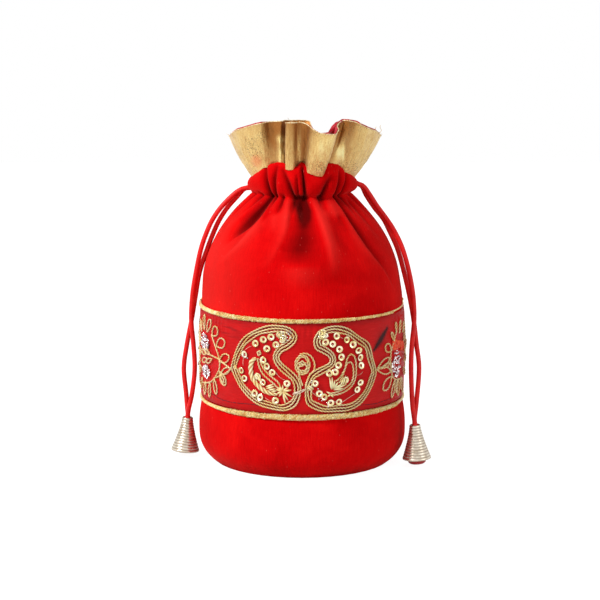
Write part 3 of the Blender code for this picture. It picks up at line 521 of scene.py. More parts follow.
def lipHeight(angle):
    line = np.array(lipLine, float)
    fine = np.linspace(-180, 180, 1441)
    height = np.interp(fine, line[:, 0], line[:, 1])
    kernel = np.exp(-0.5 * (np.arange(-12, 13) / 4.0) ** 2)
    padded = np.concatenate([height[-13:-1], height, height[1:13]])
    height = np.convolve(padded, kernel / kernel.sum(), "valid")
    degrees = (np.degrees(angle) + 180) % 360 - 180
    return np.interp(degrees, fine, height) / 1000


def bodyRadius(height):
    # the crests of the cloth from below the band up to the neck
    v = velvetCloth
    low = v["bulge"] - (v["bulge"] - v["base"]) * np.clip((v["bulgeHeight"] - height) / v["bulgeHeight"], 0, 1) ** 3
    under = np.clip((height - v["bulgeHeight"]) / (v["bandLow"] - v["bulgeHeight"]), 0, 1)
    low = low - 0.6 * (v["bulge"] - v["waist"]) * under ** 2
    part = np.clip((height - v["shoulderStart"]) / (v["neckHeight"] - v["shoulderStart"]), 0, 1)
    high = v["neck"] + (v["shoulder"] - v["neck"]) * (1 - part ** v["power"])
    middle = v["waist"] + 0.4 * (v["bulge"] - v["waist"]) * (1 - smoothStep((height - v["bandLow"]) / 0.0024))
    return np.where(height < v["bandLow"], low, np.where(height < v["bandHigh"], middle, high))


def foldDepth(angle, height):
    # sum of all creases at a place, in metres; positive is inwards
    total = np.zeros(np.broadcast(angle, height).shape)
    tall = height * 1000 + np.zeros_like(total)
    radius = bodyRadius(height)
    for leftWidth, rightWidth, line in allFolds:
        line = np.array(line, float)[::-1]
        middle = np.interp(tall, line[:, 0], line[:, 1])
        deep = np.interp(tall, line[:, 0], line[:, 2], left=0, right=0)
        off = (np.degrees(angle) - middle + 180) % 360 - 180
        across = np.radians(off) * radius * 1000 / np.where(off < 0, leftWidth, rightWidth)
        # narrow creases are sharp, broad ones softly rounded
        total += deep * np.where(min(leftWidth, rightWidth) > 2.9, np.exp(-0.9 * across ** 2), np.exp(1 - np.sqrt(1 + (1.5 * across) ** 2)))
    return total / 1000


def velvetSurface():
    v = velvetCloth
    angle = np.linspace(-np.pi, np.pi, v["columns"], endpoint=False)[None, :]
    low = np.concatenate([np.linspace(0.0023, 0.0100, 9), np.linspace(0.0115, 0.0362, 16), [0.0372, 0.0384, 0.0400]])
    high = np.concatenate([[0.0960, 0.0980], np.linspace(0.0990, 0.1664, 84)])
    share = np.linspace(0, 1, 30)[1:] ** 1.0
    rows = [np.broadcast_to(z, angle.shape) for z in np.concatenate([low, high])]
    lip = lipHeight(angle)
    neck = v["neckHeight"]
    heights = np.concatenate(rows + [neck + (lip - neck) * t for t in share], 0)
    radius = bodyRadius(heights)
    depth = foldDepth(angle, heights)
    up = np.clip((heights - neck) / (lip - neck), 0, 1)
    # the channel swells over the cords and turns in under the frill
    swell = v["swell"] * np.sin(np.pi * np.clip(up, 0, 1)) ** 0.75
    radius = radius + swell + (v["lipRadius"] - v["neck"]) * up
    wander = 0.0011 * ripple(angle, np.array(0.0), 1.7, 17)
    pinch = np.exp(-((heights - neck - 0.0006 - wander) / 0.0013) ** 2)
    radius = radius - 0.0006 * pinch * (1 + 0.6 * ripple(angle, np.array(0.0), 2.6, 18))
    soft = smoothStep((heights - v["bandHigh"]) / 0.02)
    radius = radius - v["lean"] * np.sin(angle) * soft * smoothStep((0.172 - heights) / 0.02)
    radius = radius - 0.0010 * np.clip(-np.sin(angle), 0, 1) ** 2 * smoothStep((heights - 0.166) / 0.005)
    radius = radius + 0.0006 * smoothStep((heights - 0.094) / 0.002) * smoothStep((0.112 - heights) / 0.012)
    radius = radius + 0.00035 * ripple(angle, heights, 1.0, 3) * smoothStep((heights - 0.104) / 0.02)
    radius = radius + 0.00016 * ripple(angle, heights, 3.0, 4) * smoothStep((heights - 0.11) / 0.02)
    radius = radius + 0.00025 * ripple(angle, heights, 1.0, 8) * smoothStep((heights - 0.003) / 0.01) * (heights < 0.05)
    radius = radius - depth
    grid = around(angle, radius, heights)
    # the soft lip rolls over the frill
    edge = grid[-1]
    top, left = lip[0], radius[-1]
    roll = []
    for out, rise in ((-0.0003, 0.0007), (-0.0009, 0.0010), (-0.0016, 0.0007), (-0.0019, -0.0004)):
        roll.append(around(angle[0], left + out, top + rise))
    grid = np.concatenate([grid, np.array(roll)], 0)
    full = np.concatenate([depth, np.repeat(depth[-1:], 4, 0)], 0)
    return angle, grid, full


velvet = Finish("Red velvet", Roughness=0.9, Specular_IOR_Level=0.03, Sheen_Weight=0.42, Sheen_Roughness=0.42,
                Sheen_Tint=(1.0, 0.12, 0.10, 1.0))
spot = velvet.place()
velvetShadeAndHighlight = velvet.mask("shade")
cloud = velvet.noise(spot, 38.0, 3.0, 0.55, 0.6)
pile = velvet.noise(spot, 2600.0, 2.0)
strokes = velvet.noise(velvet.stretch(velvet.cloth(), (1500.0, 120.0, 1.0)), 1.0, 2.0)
tone = velvet.ramp(cloud * 0.55 + strokes * 0.25 + pile * 0.2, (0.34, paint(190, 0, 2)), (0.5, paint(217, 2, 6)), (0.66, paint(240, 12, 12)))
# painted shade in the creases and painted highlight on the ridges, both from the mesh's shade attribute; pale lint
# flecks on top
toneWithPaintedShade = velvet.blend(velvetShadeAndHighlight.limit() * 0.9, tone, paint(72, 0, 1))
toneWithPaintedLightAndLint = velvet.blend((velvetShadeAndHighlight * -0.9).limit(), toneWithPaintedShade, paint(252, 50, 44))
lint = velvet.noise(velvet.stretch(velvet.cloth(), (900.0, 520.0, 1.0)), 1.0, 0.0)
toneWithPaintedLightAndLint = velvet.blend(((lint - 0.82) * 20.0).limit() * 0.4, toneWithPaintedLightAndLint, paint(255, 100, 90))
velvet.give(Base_Color=toneWithPaintedLightAndLint)
velvet.bump((pile, 0.0003, 0.55), (strokes, 0.0003, 0.35), (cloud, 0.0012, 0.25))

angle, grid, depth = velvetSurface()
wide = np.linspace(-np.pi, np.pi, velvetCloth["columns"] + 1) * velvetCloth["bandRadius"]
tall = grid[:, 0, 2]
uv = np.stack([np.broadcast_to(wide, (len(grid), len(wide))), np.broadcast_to(tall[:, None], (len(grid), len(wide)))], -1)
body = Pile()
# painted shade in the creases, deeper with the fold depth, and painted highlight on the ridges
shade = np.clip(depth * 1000 / 3.2, -1, 1)
shade = np.where(shade > 0, np.abs(shade) ** 1.3, shade * 0.9)
# a painted highlight on the left of the shoulder, the side the key light falls on
shade = shade - 0.42 * smoothStep((-grid[..., 0] - 0.020) / 0.036) * smoothStep((grid[..., 2] - 0.097) / 0.003) * smoothStep((0.172 - grid[..., 2]) / 0.03)
body.strip(grid, uv=uv, shade=shade)
# the cloth turned in and down under the lip, so that its top edge has a thickness
inner = grid[::-1].copy()
squeeze = np.array([1, 1, 0])
inner = grid[-1:] * np.array([0.972, 0.972, 1]) + np.array([0, 0, -0.0045])
body.strip(np.concatenate([grid[-1:], inner], 0), uv=uv[-2:])
velvetBody = body.make("velvetBody", velvet)
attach(velvetBody, "root")
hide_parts("velvet_wall")
print("velvet body gathered")


# Gold frill. Each control is a fold line, in mm: degrees off the front, radius and height at the seam, then how far
# to the right, how far forward and how high it is at the rim
frillFront = [
    (-90, 30.8, 175.5, -44.0, 0.0, 201.0), (-78, 31.3, 176.5, -43.0, 9.5, 203.2), (-66, 32.0, 179.0, -40.0, 18.5, 206.2),
    (-55, 31.9, 181.5, -34.0, 26.0, 208.6), (-47, 31.8, 184.0, -28.5, 31.0, 210.7), (-43, 31.6, 184.3, -24.8, 33.0, 211.6),
    (-40.5, 30.6, 184.8, -22.6, 31.5, 211.9), (-37, 29.2, 185.6, -20.3, 29.0, 212.2), (-33, 29.0, 186.4, -17.2, 28.5, 212.4),
    (-29, 30.0, 186.6, -14.2, 29.5, 212.6), (-25.5, 30.8, 186.6, -12.2, 30.0, 212.7), (-23, 30.0, 186.5, -10.6, 27.5, 213.0),
    # a knife pleat: back layer, middle layer, then the narrow front fold
    (-19.5, 28.6, 186.5, -8.0, 24.5, 212.7), (-12, 27.8, 186.8, -3.0, 22.5, 212.6), (-5, 27.4, 187.0, 2.0, 22.5, 212.5),
    (-2.5, 27.6, 187.0, 4.6, 23.8, 212.0), (-2.2, 28.2, 187.0, 5.6, 25.5, 208.6), (-5, 28.8, 186.8, 2.5, 27.0, 208.8),
    (-11, 29.4, 186.2, -3.0, 28.5, 211.2), (-16, 30.0, 185.6, -7.0, 31.0, 212.2), (-18.5, 31.0, 185.0, -9.6, 35.5, 211.9),
    (-18.4, 32.2, 184.2, -10.0, 39.0, 212.6), (-16.5, 32.9, 183.9, -8.8, 41.2, 212.8), (-13, 33.1, 183.8, -6.8, 42.0, 212.8),
    (-9.6, 32.6, 184.1, -4.6, 41.4, 212.8), (-7.5, 30.4, 184.8, -3.0, 39.6, 212.8), (-4, 28.6, 186.0, -1.2, 38.6, 212.8),
    (0, 28.4, 186.6, 0.8, 38.8, 212.5), (3, 29.6, 186.2, 2.8, 40.0, 211.8),
    # the broad front fold, bent low, and the curl at its right end
    (4.4, 31.6, 183.8, 4.4, 42.5, 210.8), (5.2, 33.0, 182.3, 6.2, 44.6, 209.3), (10, 33.4, 181.3, 10.0, 46.3, 207.2),
    (16, 33.4, 180.0, 15.4, 46.4, 206.4), (21, 33.0, 179.8, 19.2, 45.0, 206.2), (23.3, 32.2, 180.2, 20.4, 42.8, 206.4),
    (24.6, 30.6, 182.4, 21.7, 38.0, 208.6), (25.4, 29.4, 184.6, 20.7, 34.5, 210.0), (27, 29.0, 185.8, 22.1, 31.2, 211.9),
    (30, 29.6, 186.2, 24.5, 29.4, 213.2), (35, 31.0, 186.0, 26.8, 31.0, 213.2), (40, 31.4, 185.6, 28.8, 31.2, 212.8),
    (45, 30.2, 184.0, 30.6, 29.8, 212.4), (50, 30.2, 182.4, 32.4, 29.8, 212.0), (55, 31.4, 180.8, 34.4, 30.4, 210.8),
    (63, 31.9, 179.0, 39.5, 26.5, 208.2), (72, 32.0, 177.3, 44.5, 17.8, 205.6), (82, 31.8, 175.5, 47.6, 8.0, 202.4),
    (90, 31.6, 174.8, 48.2, 0.0, 200.8),
]
frill = {"columns": 620, "rows": 46, "roundness": 0.55, "thick": 0.0006, "linedAbove": 0.0010}


frillBack = [
    (97, 0, 45.4, 199.8), (106, -3.6, 34.4, 199.4), (117, 0, 45.0, 198.8), (127, -3.4, 35.4, 198.8), (138, 0, 44.4, 198.2),
    (147, -3.8, 34.0, 198.4), (157, 0, 44.8, 198.0), (168, -3.3, 35.8, 198.0), (178, 0, 44.2, 197.8), (189, -3.6, 34.2, 198.2),
    (199, 0, 44.6, 198.0), (208, -3.4, 34.8, 198.4), (219, 0, 45.2, 198.6), (230, -3.7, 34.6, 198.9), (240, 0, 44.8, 199.2),
    (250, -3.4, 35.6, 199.6), (260, 0, 45.4, 200.2),
]


def frillControls():
    # the back's folds as degrees, seam in from the lip, rim radius and rim height; each is a short flat
    made = list(frillFront)
    for angle, seam, reach, rim in frillBack:
        base = float(lipHeight(np.array(math.radians(angle)))) * 1000 - 0.6
        for shift in ((-2.4, 2.4) if seam == 0 else (-1.3, 1.3)):
            tilted = math.radians(angle + shift)
            made.append((angle + shift, 31.8 + seam, base, reach * math.sin(tilted), reach * math.cos(tilted), rim))
    return made


def frillLines():
    # seam and rim of the frill as even columns, folds rounded a little
    rows = np.array(frillControls(), float)
    turn = np.radians(rows[:, 0])
    seam = np.stack([rows[:, 1] * np.sin(turn), -rows[:, 1] * np.cos(turn), rows[:, 2]], 1)
    rim = np.stack([rows[:, 3], -rows[:, 4], rows[:, 5]], 1)
    both = np.concatenate([seam, rim], 1) / 1000
    both = np.concatenate([both, both[:1]], 0)
    gaps = np.linalg.norm(np.diff(both[:, 3:], axis=0), axis=1) + 0.4 * np.linalg.norm(np.diff(both[:, :3], axis=0), axis=1)
    along = np.concatenate([[0.0], np.cumsum(gaps)])
    want = np.linspace(0, along[-1], frill["columns"], endpoint=False)
    even = np.stack([np.interp(want, along, both[:, k]) for k in range(6)], 1)
    sigma = frill["roundness"] / 1000 / (along[-1] / frill["columns"])
    reach = int(4 * sigma) + 1
    kernel = np.exp(-0.5 * (np.arange(-reach, reach + 1) / sigma) ** 2)
    kernel /= kernel.sum()
    padded = np.concatenate([even[-reach:], even, even[:reach]], 0)
    smooth = np.stack([np.convolve(padded[:, k], kernel, "valid") for k in range(6)], 1)
    return smooth[:, :3], smooth[:, 3:], want


def frillGrid(inset, lift, low=0.0):
    seam, rim, along = frillLines()
    t = np.linspace(low, 1, frill["rows"])[:, None, None]
    # the lining shows above the rim at the sides and the back only
    beside = np.clip((np.abs(rim[:, 0]) - 0.018) / 0.006, 0.15, 1) + np.clip(rim[:, 1] / 0.01, 0, 1)
    rim = rim + np.array([0, 0, 1.0]) * (lift * np.clip(beside, 0, 1))[:, None]
    grid = seam[None] * (1 - t) + rim[None] * t
    # the cloth bows out a little between seam and rim
    outward = grid * np.array([1, 1, 0])
    outward /= np.maximum(np.linalg.norm(outward, axis=2, keepdims=True), 1e-9)
    grid = grid + outward * 0.0011 * np.sin(np.pi * t)
    ways = np.roll(grid, -1, 1) - np.roll(grid, 1, 1)
    rise = np.gradient(grid, axis=0)
    normal = np.cross(ways, rise)
    normal /= np.maximum(np.linalg.norm(normal, axis=2, keepdims=True), 1e-12)
    # fine pleats and crumples of the stiff tissue
    s = along[None, :] * 1000
    h = np.linspace(low, 1, frill["rows"])[:, None] * 28
    crumple = 0.10 * np.sin(s * 1.9 + 1.3 * np.sin(h * 0.35)) + 0.07 * np.sin(s * 3.7 + 2.0 + 1.1 * np.sin(h * 0.5 + s * 0.05))
    crumple = crumple + 0.12 * np.sin(s * 0.83 + h * 0.55) * np.sin(h * 0.45 - s * 0.21)
    grid = grid + normal * (crumple * 0.0011 * np.sin(np.pi * np.clip(t[..., 0] * 0.9 + 0.1, 0, 1)) - inset)[..., None]
    return grid, along


tissue = Finish("Gold tissue", Roughness=0.36, Metallic=0.55, Sheen_Weight=0.1)
ground = tissue.cloth()
spot = tissue.place()
weave = tissue.noise(tissue.stretch(ground, (2600.0, 160.0, 1.0)), 1.0, 2.0)
crackle = tissue.cells(tissue.shift(ground, tissue.stretch(tissue.add("ShaderNodeTexNoise", None, {"Vector": spot, "Scale": 260.0}, 1), (0.0012, 0.0012, 0.0))), 420.0, "DISTANCE_TO_EDGE")
speck = tissue.noise(spot, 1500.0, 3.0, 0.7)
patch = tissue.noise(spot, 95.0, 3.0)
tissueShadeAndHighlight = tissue.mask("shade")
gold = tissue.ramp(weave * 0.45 + speck * 0.35 + patch * 0.2, (0.34, paint(182, 130, 58)), (0.5, paint(232, 197, 122)), (0.66, paint(255, 238, 166)))
# painted shade in the valleys and painted highlights on the ridges, from the mesh's shade attribute
gold = tissue.blend(tissueShadeAndHighlight.limit(), gold, paint(158, 98, 32))
gold = tissue.blend((tissueShadeAndHighlight * -1.0).limit(), gold, paint(252, 244, 176))
grit = tissue.noise(spot, 1350.0, 1.0, 0.5)
band0 = tissue.noise(tissue.shift(spot, (0.03, 0.0, 0.01)), 62.0, 1.0)
wayside = tissue.add("ShaderNodeSeparateXYZ", None, {0: spot}, 0)
apart = wayside * wayside * 1190.0 - 1.0
specks = ((grit - 0.56) * 16.0).limit() * ((band0 - 0.545) * 9.0 + (1.0 - apart * apart * 3.0).limit() * 0.9).limit()
gold = tissue.blend(specks * 0.75, gold, paint(116, 86, 36))
# a painted reflection of the red velvet at the foot of the left panel
tallness = tissue.add("ShaderNodeSeparateXYZ", None, {0: spot}, 2)
besideX = (wayside + 0.0275) * 240.0
besideZ = (tallness - 0.1880) * 200.0
gold = tissue.blend((1.0 - besideX * besideX - besideZ * besideZ).limit() * 0.42, gold, paint(236, 84, 50))
tissue.give(Base_Color=gold, Roughness=0.28 + 0.25 * speck)
tissue.bump((weave, 0.0002, 0.5), (crackle, 0.0005, 0.45), (speck, 0.0002, 0.5), (patch, 0.0014, 0.4))

outside, along = frillGrid(0.0, 0.0)
# painted shade in the valleys, deeper the further a place lies in from the crests beside it
radiusAt = np.linalg.norm(outside[..., :2], axis=2)
span = 41
padded = np.concatenate([radiusAt[:, -span:], radiusAt, radiusAt[:, :span]], 1)
local = np.stack([padded[:, k:k + radiusAt.shape[1]] for k in range(0, 2 * span + 1, 6)], 0).max(0)
shade = np.clip((local - radiusAt) * 1000 / 6.5, 0, 1)
for x, z, halfX, halfZ in ((-12.5, 195, 1.5, 7.0), (-12.8, 202, 2.2, 2.2), (22.0, 194, 2.3, 5.0), (24.6, 193, 0.8, 5.5), (-2.0, 196, 0.9, 9), (11, 199, 2.0, 6)):
    # painted highlights on ridges of the tissue that catch the light
    paintedRidgeHighlight = np.exp(-((outside[..., 0] * 1000 - x) / halfX) ** 2 - ((outside[..., 2] * 1000 - z) / halfZ) ** 2) * (outside[..., 1] < 0)
    shade = shade - (1.3 if z != 199 else 0.5) * paintedRidgeHighlight
wide = np.concatenate([along, [along[-1] + along[1]]])
uv = np.stack([np.broadcast_to(wide, (frill["rows"], len(wide))), np.broadcast_to((np.linspace(0, 0.028, frill["rows"]))[:, None], (frill["rows"], len(wide)))], -1)
gather = Pile()
gather.strip(outside, uv=uv, shade=shade)
insideGold, _ = frillGrid(0.00035, 0.0)
edgeStrip = np.stack([outside[-1], insideGold[-1], insideGold[-4]])
gather.strip(edgeStrip, uv=uv[:3])
goldFrill = gather.make("goldFrill", tissue)
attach(goldFrill, "root")
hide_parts("gold_frill")

# Raw edge of the tissue, a cream line with a few loose threads
rawEdge = Finish("Frayed tissue edge", Roughness=0.6, Metallic=0.2)
tint = rawEdge.noise(rawEdge.place(), 900.0, 2.0)
rawEdge.give(Base_Color=rawEdge.ramp(tint, (0.35, paint(206, 160, 100)), (0.55, paint(246, 226, 176)), (0.7, paint(255, 246, 216))))
edgeThread = Pile()
rimLine = np.concatenate([outside[-1], outside[-1][:1]]) + np.array((0, 0, 0.0002))
tube(edgeThread, rimLine, 0.00030, sides=6, closed=True, up=np.broadcast_to((0, 0, 1.0), (len(rimLine) - 1, 3)), twist=0.0011, lobe=0.2)
own = np.random.default_rng(5)
for k in range(46):
    # stray fibres along the rim
    start = rimLine[int(own.integers(0, len(rimLine)))]
    away = start * np.array((1, 1, 0)) / np.linalg.norm(start[:2])
    reach = own.uniform(0.0008, 0.0022)
    bend = np.array((own.normal(0, 0.4), own.normal(0, 0.4), own.uniform(0.2, 1.0)))
    fibre = [start + (away * 0.4 + bend * t) * reach * t for t in np.linspace(0, 1, 5)]
    tube(edgeThread, np.array(fibre), 0.00009, sides=4)
for points in ([(45.4, 14, 205.2), (44.2, 15, 206.8), (44.6, 15, 208.2)], [(47.0, 10, 203.8), (48.0, 10, 205.4), (47.2, 10, 207.2), (47.4, 10, 208.6)]):
    line = fineCurve([(x / 1000, -y / 1000, z / 1000) for x, y, z in points], 0.0005)
    tube(edgeThread, line, 0.00017, sides=5)
edgePiece = edgeThread.make("rawEdge", rawEdge)
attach(edgePiece, "root")

# Lining: shows inside the frill and as a thin red line over its rim
liningCloth = Finish("Red satin lining", Roughness=0.55, Specular_IOR_Level=0.35, Sheen_Weight=0.15)
spot = liningCloth.place()
cloud = liningCloth.noise(spot, 60.0, 3.0)
thread = liningCloth.noise(liningCloth.stretch(liningCloth.cloth(), (3000.0, 260.0, 1.0)), 1.0, 2.0)
liningCloth.give(Base_Color=liningCloth.ramp(cloud * 0.5 + thread * 0.5, (0.3, paint(166, 6, 26)), (0.7, paint(214, 22, 48))))
liningCloth.bump((thread, 0.0002, 0.4), (cloud, 0.0012, 0.4))
insideTop, _ = frillGrid(0.00050, frill["linedAbove"])
insideFace, _ = frillGrid(0.00085, frill["linedAbove"])
lining = Pile()
liningRows = np.concatenate([insideTop[-5:], insideFace[::-3]], 0)
lining.strip(liningRows, uv=uv[:1].repeat(len(liningRows), 0))
seam = insideFace[0]
turnAt = np.arctan2(seam[:, 0], -seam[:, 1])
rows = [seam]
for height, radius in ((0.1740, 0.0232), (0.1690, 0.0226), (0.1600, 0.0262), (0.1480, 0.0390), (0.1350, 0.0478), (0.1150, 0.0560),
                       (0.0900, 0.0588), (0.0500, 0.0590), (0.0200, 0.0612), (0.0080, 0.0588), (0.0042, 0.0540), (0.0036, 0.0400),
                       (0.0036, 0.0200), (0.0036, 0.0004)):
    swing = 0.0006 * ripple(turnAt, np.array(height), 1.5, 21) * (0.03 < height < 0.17)
    rows.append(around(turnAt, radius - 0.0008 + swing, height))
lining.strip(np.array(rows)[:, ::2], uv=None)
# the turned-in corner of the lining that shows behind the broad front fold
corner = [(15.1, 206.0), (17.6, 210.1), (19.8, 212.3), (23.0, 213.5), (24.5, 213.0), (21.8, 211.5), (20.8, 209.7), (21.4, 207.4), (19.3, 204.6)]
middlePoint = np.array((19.2, 208.2))
grid = [[middlePoint + (np.array(q) - middlePoint) * t for q in corner] for t in (0.999, 0.7, 0.4, 0.1)]
grid = np.array(grid)
faceWedge = np.stack([grid[..., 0] / 1000, -0.0315 + 0.0016 * np.cos((grid[..., 0] - 20) / 3.4), grid[..., 1] / 1000], -1)
lining.strip(faceWedge, caps=True)
liningPiece = lining.make("liningCloth", liningCloth)
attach(liningPiece, "root")
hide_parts("lining")
print("frill and lining gathered")


# Embroidery: lines as distance round the band from the middle of a pattern, and height, both in mm
leftPaisley = [
    (-46.5, 67.6), (-43.4, 76.6), (-37.1, 85.9), (-29.0, 91.7), (-21.0, 94.6), (-13.4, 95.2), (-8.4, 94.6), (-4.6, 92.3),
    (-3.0, 89.0), (-4.2, 85.0), (-8.4, 80.9), (-11.4, 79.1), (-13.4, 75.8), (-11.4, 72.3), (-6.5, 68.0), (-3.0, 64.5),
    (-0.9, 60.5), (-0.4, 57.0), (-1.3, 51.5), (-4.0, 46.6), (-8.5, 43.8), (-13.5, 43.1), (-21.2, 44.3), (-27.6, 46.3),
    (-33.8, 49.7), (-39.1, 54.4), (-42.9, 60.0), (-46.2, 65.6),
]
rightPaisley = [
    (49.1, 64.2), (46.2, 73.2), (42.8, 81.7), (35.9, 87.1), (29.1, 92.0), (22.6, 94.2), (15.9, 94.4), (10.4, 92.6),
    (7.6, 89.4), (6.6, 85.5), (8.0, 80.9), (11.9, 78.3), (15.4, 75.7), (16.0, 73.1), (13.4, 71.3), (8.5, 68.9),
    (4.5, 66.0), (2.3, 61.5), (1.4, 57.5), (1.5, 51.5), (2.9, 47.5), (7.0, 44.6), (13.0, 42.4), (21.2, 42.0),
    (28.8, 42.4), (36.2, 44.8), (41.1, 48.8), (45.0, 54.1), (47.7, 59.3),
]
leftHeart = [
    (-26.6, 78.4), (-29.1, 75.2), (-30.8, 72.0), (-31.9, 67.9), (-30.3, 62.0), (-26.4, 57.8), (-21.1, 55.2), (-15.5, 53.6),
    (-12.4, 55.2), (-13.4, 58.2), (-16.0, 61.6), (-20.6, 64.8), (-24.8, 68.5), (-26.9, 73.4),
]
rightHeart = [
    (30.3, 76.6), (32.8, 73.8), (34.3, 68.6), (34.0, 62.6), (32.1, 57.3), (28.1, 53.6), (22.8, 52.1), (17.0, 51.7),
    (15.0, 54.1), (18.6, 57.9), (22.2, 62.7), (25.4, 67.5), (27.0, 72.4),
]
leftSequins = [
    (-28.5, 83.3), (-23.4, 86.2), (-18.7, 88.0), (-13.4, 89.7), (-11.4, 87.8), (-15.7, 83.4), (-21.3, 80.8), (-36.0, 76.0),
    (-38.4, 65.9), (-36.3, 61.1), (-29.2, 52.8), (-25.4, 50.6), (-16.0, 49.5), (-23.4, 73.7), (-21.1, 70.1), (-17.9, 66.6),
    (-9.2, 60.1), (-27.2, 63.5), (-23.7, 60.1),
]
rightSequins = [
    (11.7, 88.8), (13.7, 85.2), (18.0, 83.5), (20.3, 88.4), (26.9, 85.7), (31.3, 82.3), (35.1, 78.6), (36.1, 74.0),
    (36.8, 68.9), (22.4, 80.3), (23.5, 75.4), (21.7, 70.7), (19.8, 66.6), (16.2, 66.1), (36.4, 58.8), (34.1, 54.8),
    (7.7, 60.2), (10.2, 53.8), (13.0, 51.7), (17.0, 48.2), (21.9, 48.4), (26.2, 61.4),
]

def offset(line, distance, closed=True):
    # the same flat line moved sideways; positive is inwards on a line that runs counter-clockwise
    if closed:
        way = np.roll(line[:-1], -1, 0) - np.roll(line[:-1], 1, 0)
        way = np.concatenate([way, way[:1]])
    else:
        way = np.gradient(line, axis=0)
    way /= np.maximum(np.linalg.norm(way, axis=1, keepdims=True), 1e-9)
    return line + np.stack([-way[:, 1], way[:, 0]], 1) * np.reshape(distance, (-1, 1))


# Embroidered band
band = {"columns": 640, "rows": 92, "radius": 0.0634, "inner": 0.0617, "low": 0.0413, "high": 0.0960, "swell": 0.0003}
silk = Finish("Crimson silk", Roughness=0.5, Specular_IOR_Level=0.12, Sheen_Weight=0.10, Sheen_Roughness=0.4, Sheen_Tint=(1.0, 0.25, 0.2, 1.0))
spot = silk.place()
ground = silk.cloth()
warp = (silk.add("ShaderNodeSeparateXYZ", None, {0: ground}, 0) * 7200.0).wave()
weft = (silk.add("ShaderNodeSeparateXYZ", None, {0: ground}, 1) * 9000.0).wave()
slub = silk.noise(silk.stretch(ground, (140.0, 2600.0, 1.0)), 1.0, 3.0)
cloud = silk.noise(spot, 55.0, 3.0)
silkTone = silk.ramp(slub * 0.6 + cloud * 0.4, (0.3, paint(188, 6, 8)), (0.52, paint(210, 13, 16)), (0.72, paint(226, 32, 32)))
# darker by the mesh's shade attribute: painted shade along the edges, between the couched rows and in the wrinkles, and
# a dark streak
silk.give(Base_Color=silk.blend(silk.mask("shade").limit(), silkTone, paint(52, 4, 12)))
silk.bump((warp * weft, 0.00012, 0.5), (slub, 0.0002, 0.4), (cloud, 0.0010, 0.3))


def bandRadiusAt(angle, height):
    b = band
    edge = np.clip(np.minimum(height - b["low"], b["high"] - height) / 0.006, 0, 1)
    radius = b["radius"] - 0.0004 * (1 - edge) ** 2
    radius = radius + b["swell"] * 0.5 * ripple(angle, height, 1.5, 31) * edge
    # puckers where the band is drawn in under its upper edging
    top = smoothStep((height - 0.082) / 0.012)
    pucker = 0.00028 * np.sin(95 * angle + 2.2 * np.sin(13 * angle)) * np.clip(np.sin(5 * angle + 0.6) + 0.3, 0, 1)
    return radius + pucker * top * edge


bandAngle = np.linspace(-np.pi, np.pi, band["columns"], endpoint=False)[None, :]
bandHeights = np.linspace(band["low"], band["high"], band["rows"])[:, None]
face = around(bandAngle, bandRadiusAt(bandAngle, bandHeights), bandHeights + 0 * bandAngle)
wide = np.linspace(-np.pi, np.pi, band["columns"] + 1) * band["radius"]
bandUv = np.stack([np.broadcast_to(wide, (band["rows"], len(wide))), np.broadcast_to(bandHeights, (band["rows"], len(wide)))], -1)
hug = np.minimum(bandHeights - band["low"], band["high"] - bandHeights) / 0.0022
cloth = Pile()
# painted shade along both edges of the band, under the edgings
paintedShadeAndStreaks = np.exp(-np.clip(hug, 0, 9) ** 2) * 0.32 + 0 * bandAngle
# a soft dark streak beside the right paisley, and painted shade of pressed wrinkles at the upper left
streakFrom, streakTo = np.array((59.6, 88.4)), np.array((47.4, 77.0))
flatS = bandAngle * band["radius"] * 1000 + 0 * bandHeights
flatZ = bandHeights * 1000 + 0 * bandAngle
way = streakTo - streakFrom
t = np.clip(((flatS - streakFrom[0]) * way[0] + (flatZ - streakFrom[1]) * way[1]) / (way @ way), 0, 1)
reach = np.hypot(flatS - streakFrom[0] - way[0] * t, flatZ - streakFrom[1] - way[1] * t)
reach = reach + 0.9 * np.abs(np.sin(flatZ * 2.3 + flatS * 1.1)) * np.abs(np.sin(flatZ * 0.9 - flatS * 2.1))
paintedShadeAndStreaks = paintedShadeAndStreaks + 1.4 * np.exp(-(reach / (1.1 + 1.4 * np.sin(np.pi * np.clip(t, 0.08, 0.95)))) ** 2)
wrinkleShade = np.exp(-((flatS + 50) / 13) ** 2 - ((flatZ - 89) / 4.5) ** 2)
paintedShadeAndStreaks = paintedShadeAndStreaks + 0.55 * wrinkleShade * np.clip(ripple(bandAngle, bandHeights * 12, 3.4, 61), 0, 1)
paintedShadeAndStreaks = paintedShadeAndStreaks + 0.2 * np.clip(ripple(bandAngle, bandHeights * 5, 1.6, 62) - 0.4, 0, 1)
for middle in (0.0, 126.0, -126.0):
    # silk in the shade between the couched rows
    for outline in (leftPaisley, rightPaisley):
        line = fineCurve(outline, 1.2, True)
        area = np.sum(line[:-1, 0] * line[1:, 1] - line[1:, 0] * line[:-1, 1])
        line = offset(line, 1.9 * (1 if area > 0 else -1))
        near = ((bandAngle[0] - math.radians(middle) + np.pi) % (2 * np.pi) - np.pi) * band["radius"] * 1000
        for k in range(band["rows"]):
            gap = np.hypot(near[:, None] - line[None, :, 0], bandHeights[k, 0] * 1000 - line[None, :, 1]).min(1)
            paintedShadeAndStreaks[k] += 0.6 * np.exp(-(gap / 1.75) ** 4)
cloth.strip(face, uv=bandUv, shade=paintedShadeAndStreaks)
inward = [around(bandAngle[0], band["inner"], h) for h in (band["low"], band["high"])]
cloth.strip(np.stack([inward[0], face[0]]), uv=bandUv[:2])
cloth.strip(np.stack([face[-1], inward[1]]), uv=bandUv[-2:])
bandCloth = cloth.make("bandCloth", silk)
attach(bandCloth, "root")
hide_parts("band")
print("band wrapped")


# Edgings of looped gold yarn along both edges of the band
edging = {"lowHeight": 0.0393, "highHeight": 0.0976, "centre": 0.0631, "depth": 0.00100, "loops": 2400, "loopThread": 0.00017}
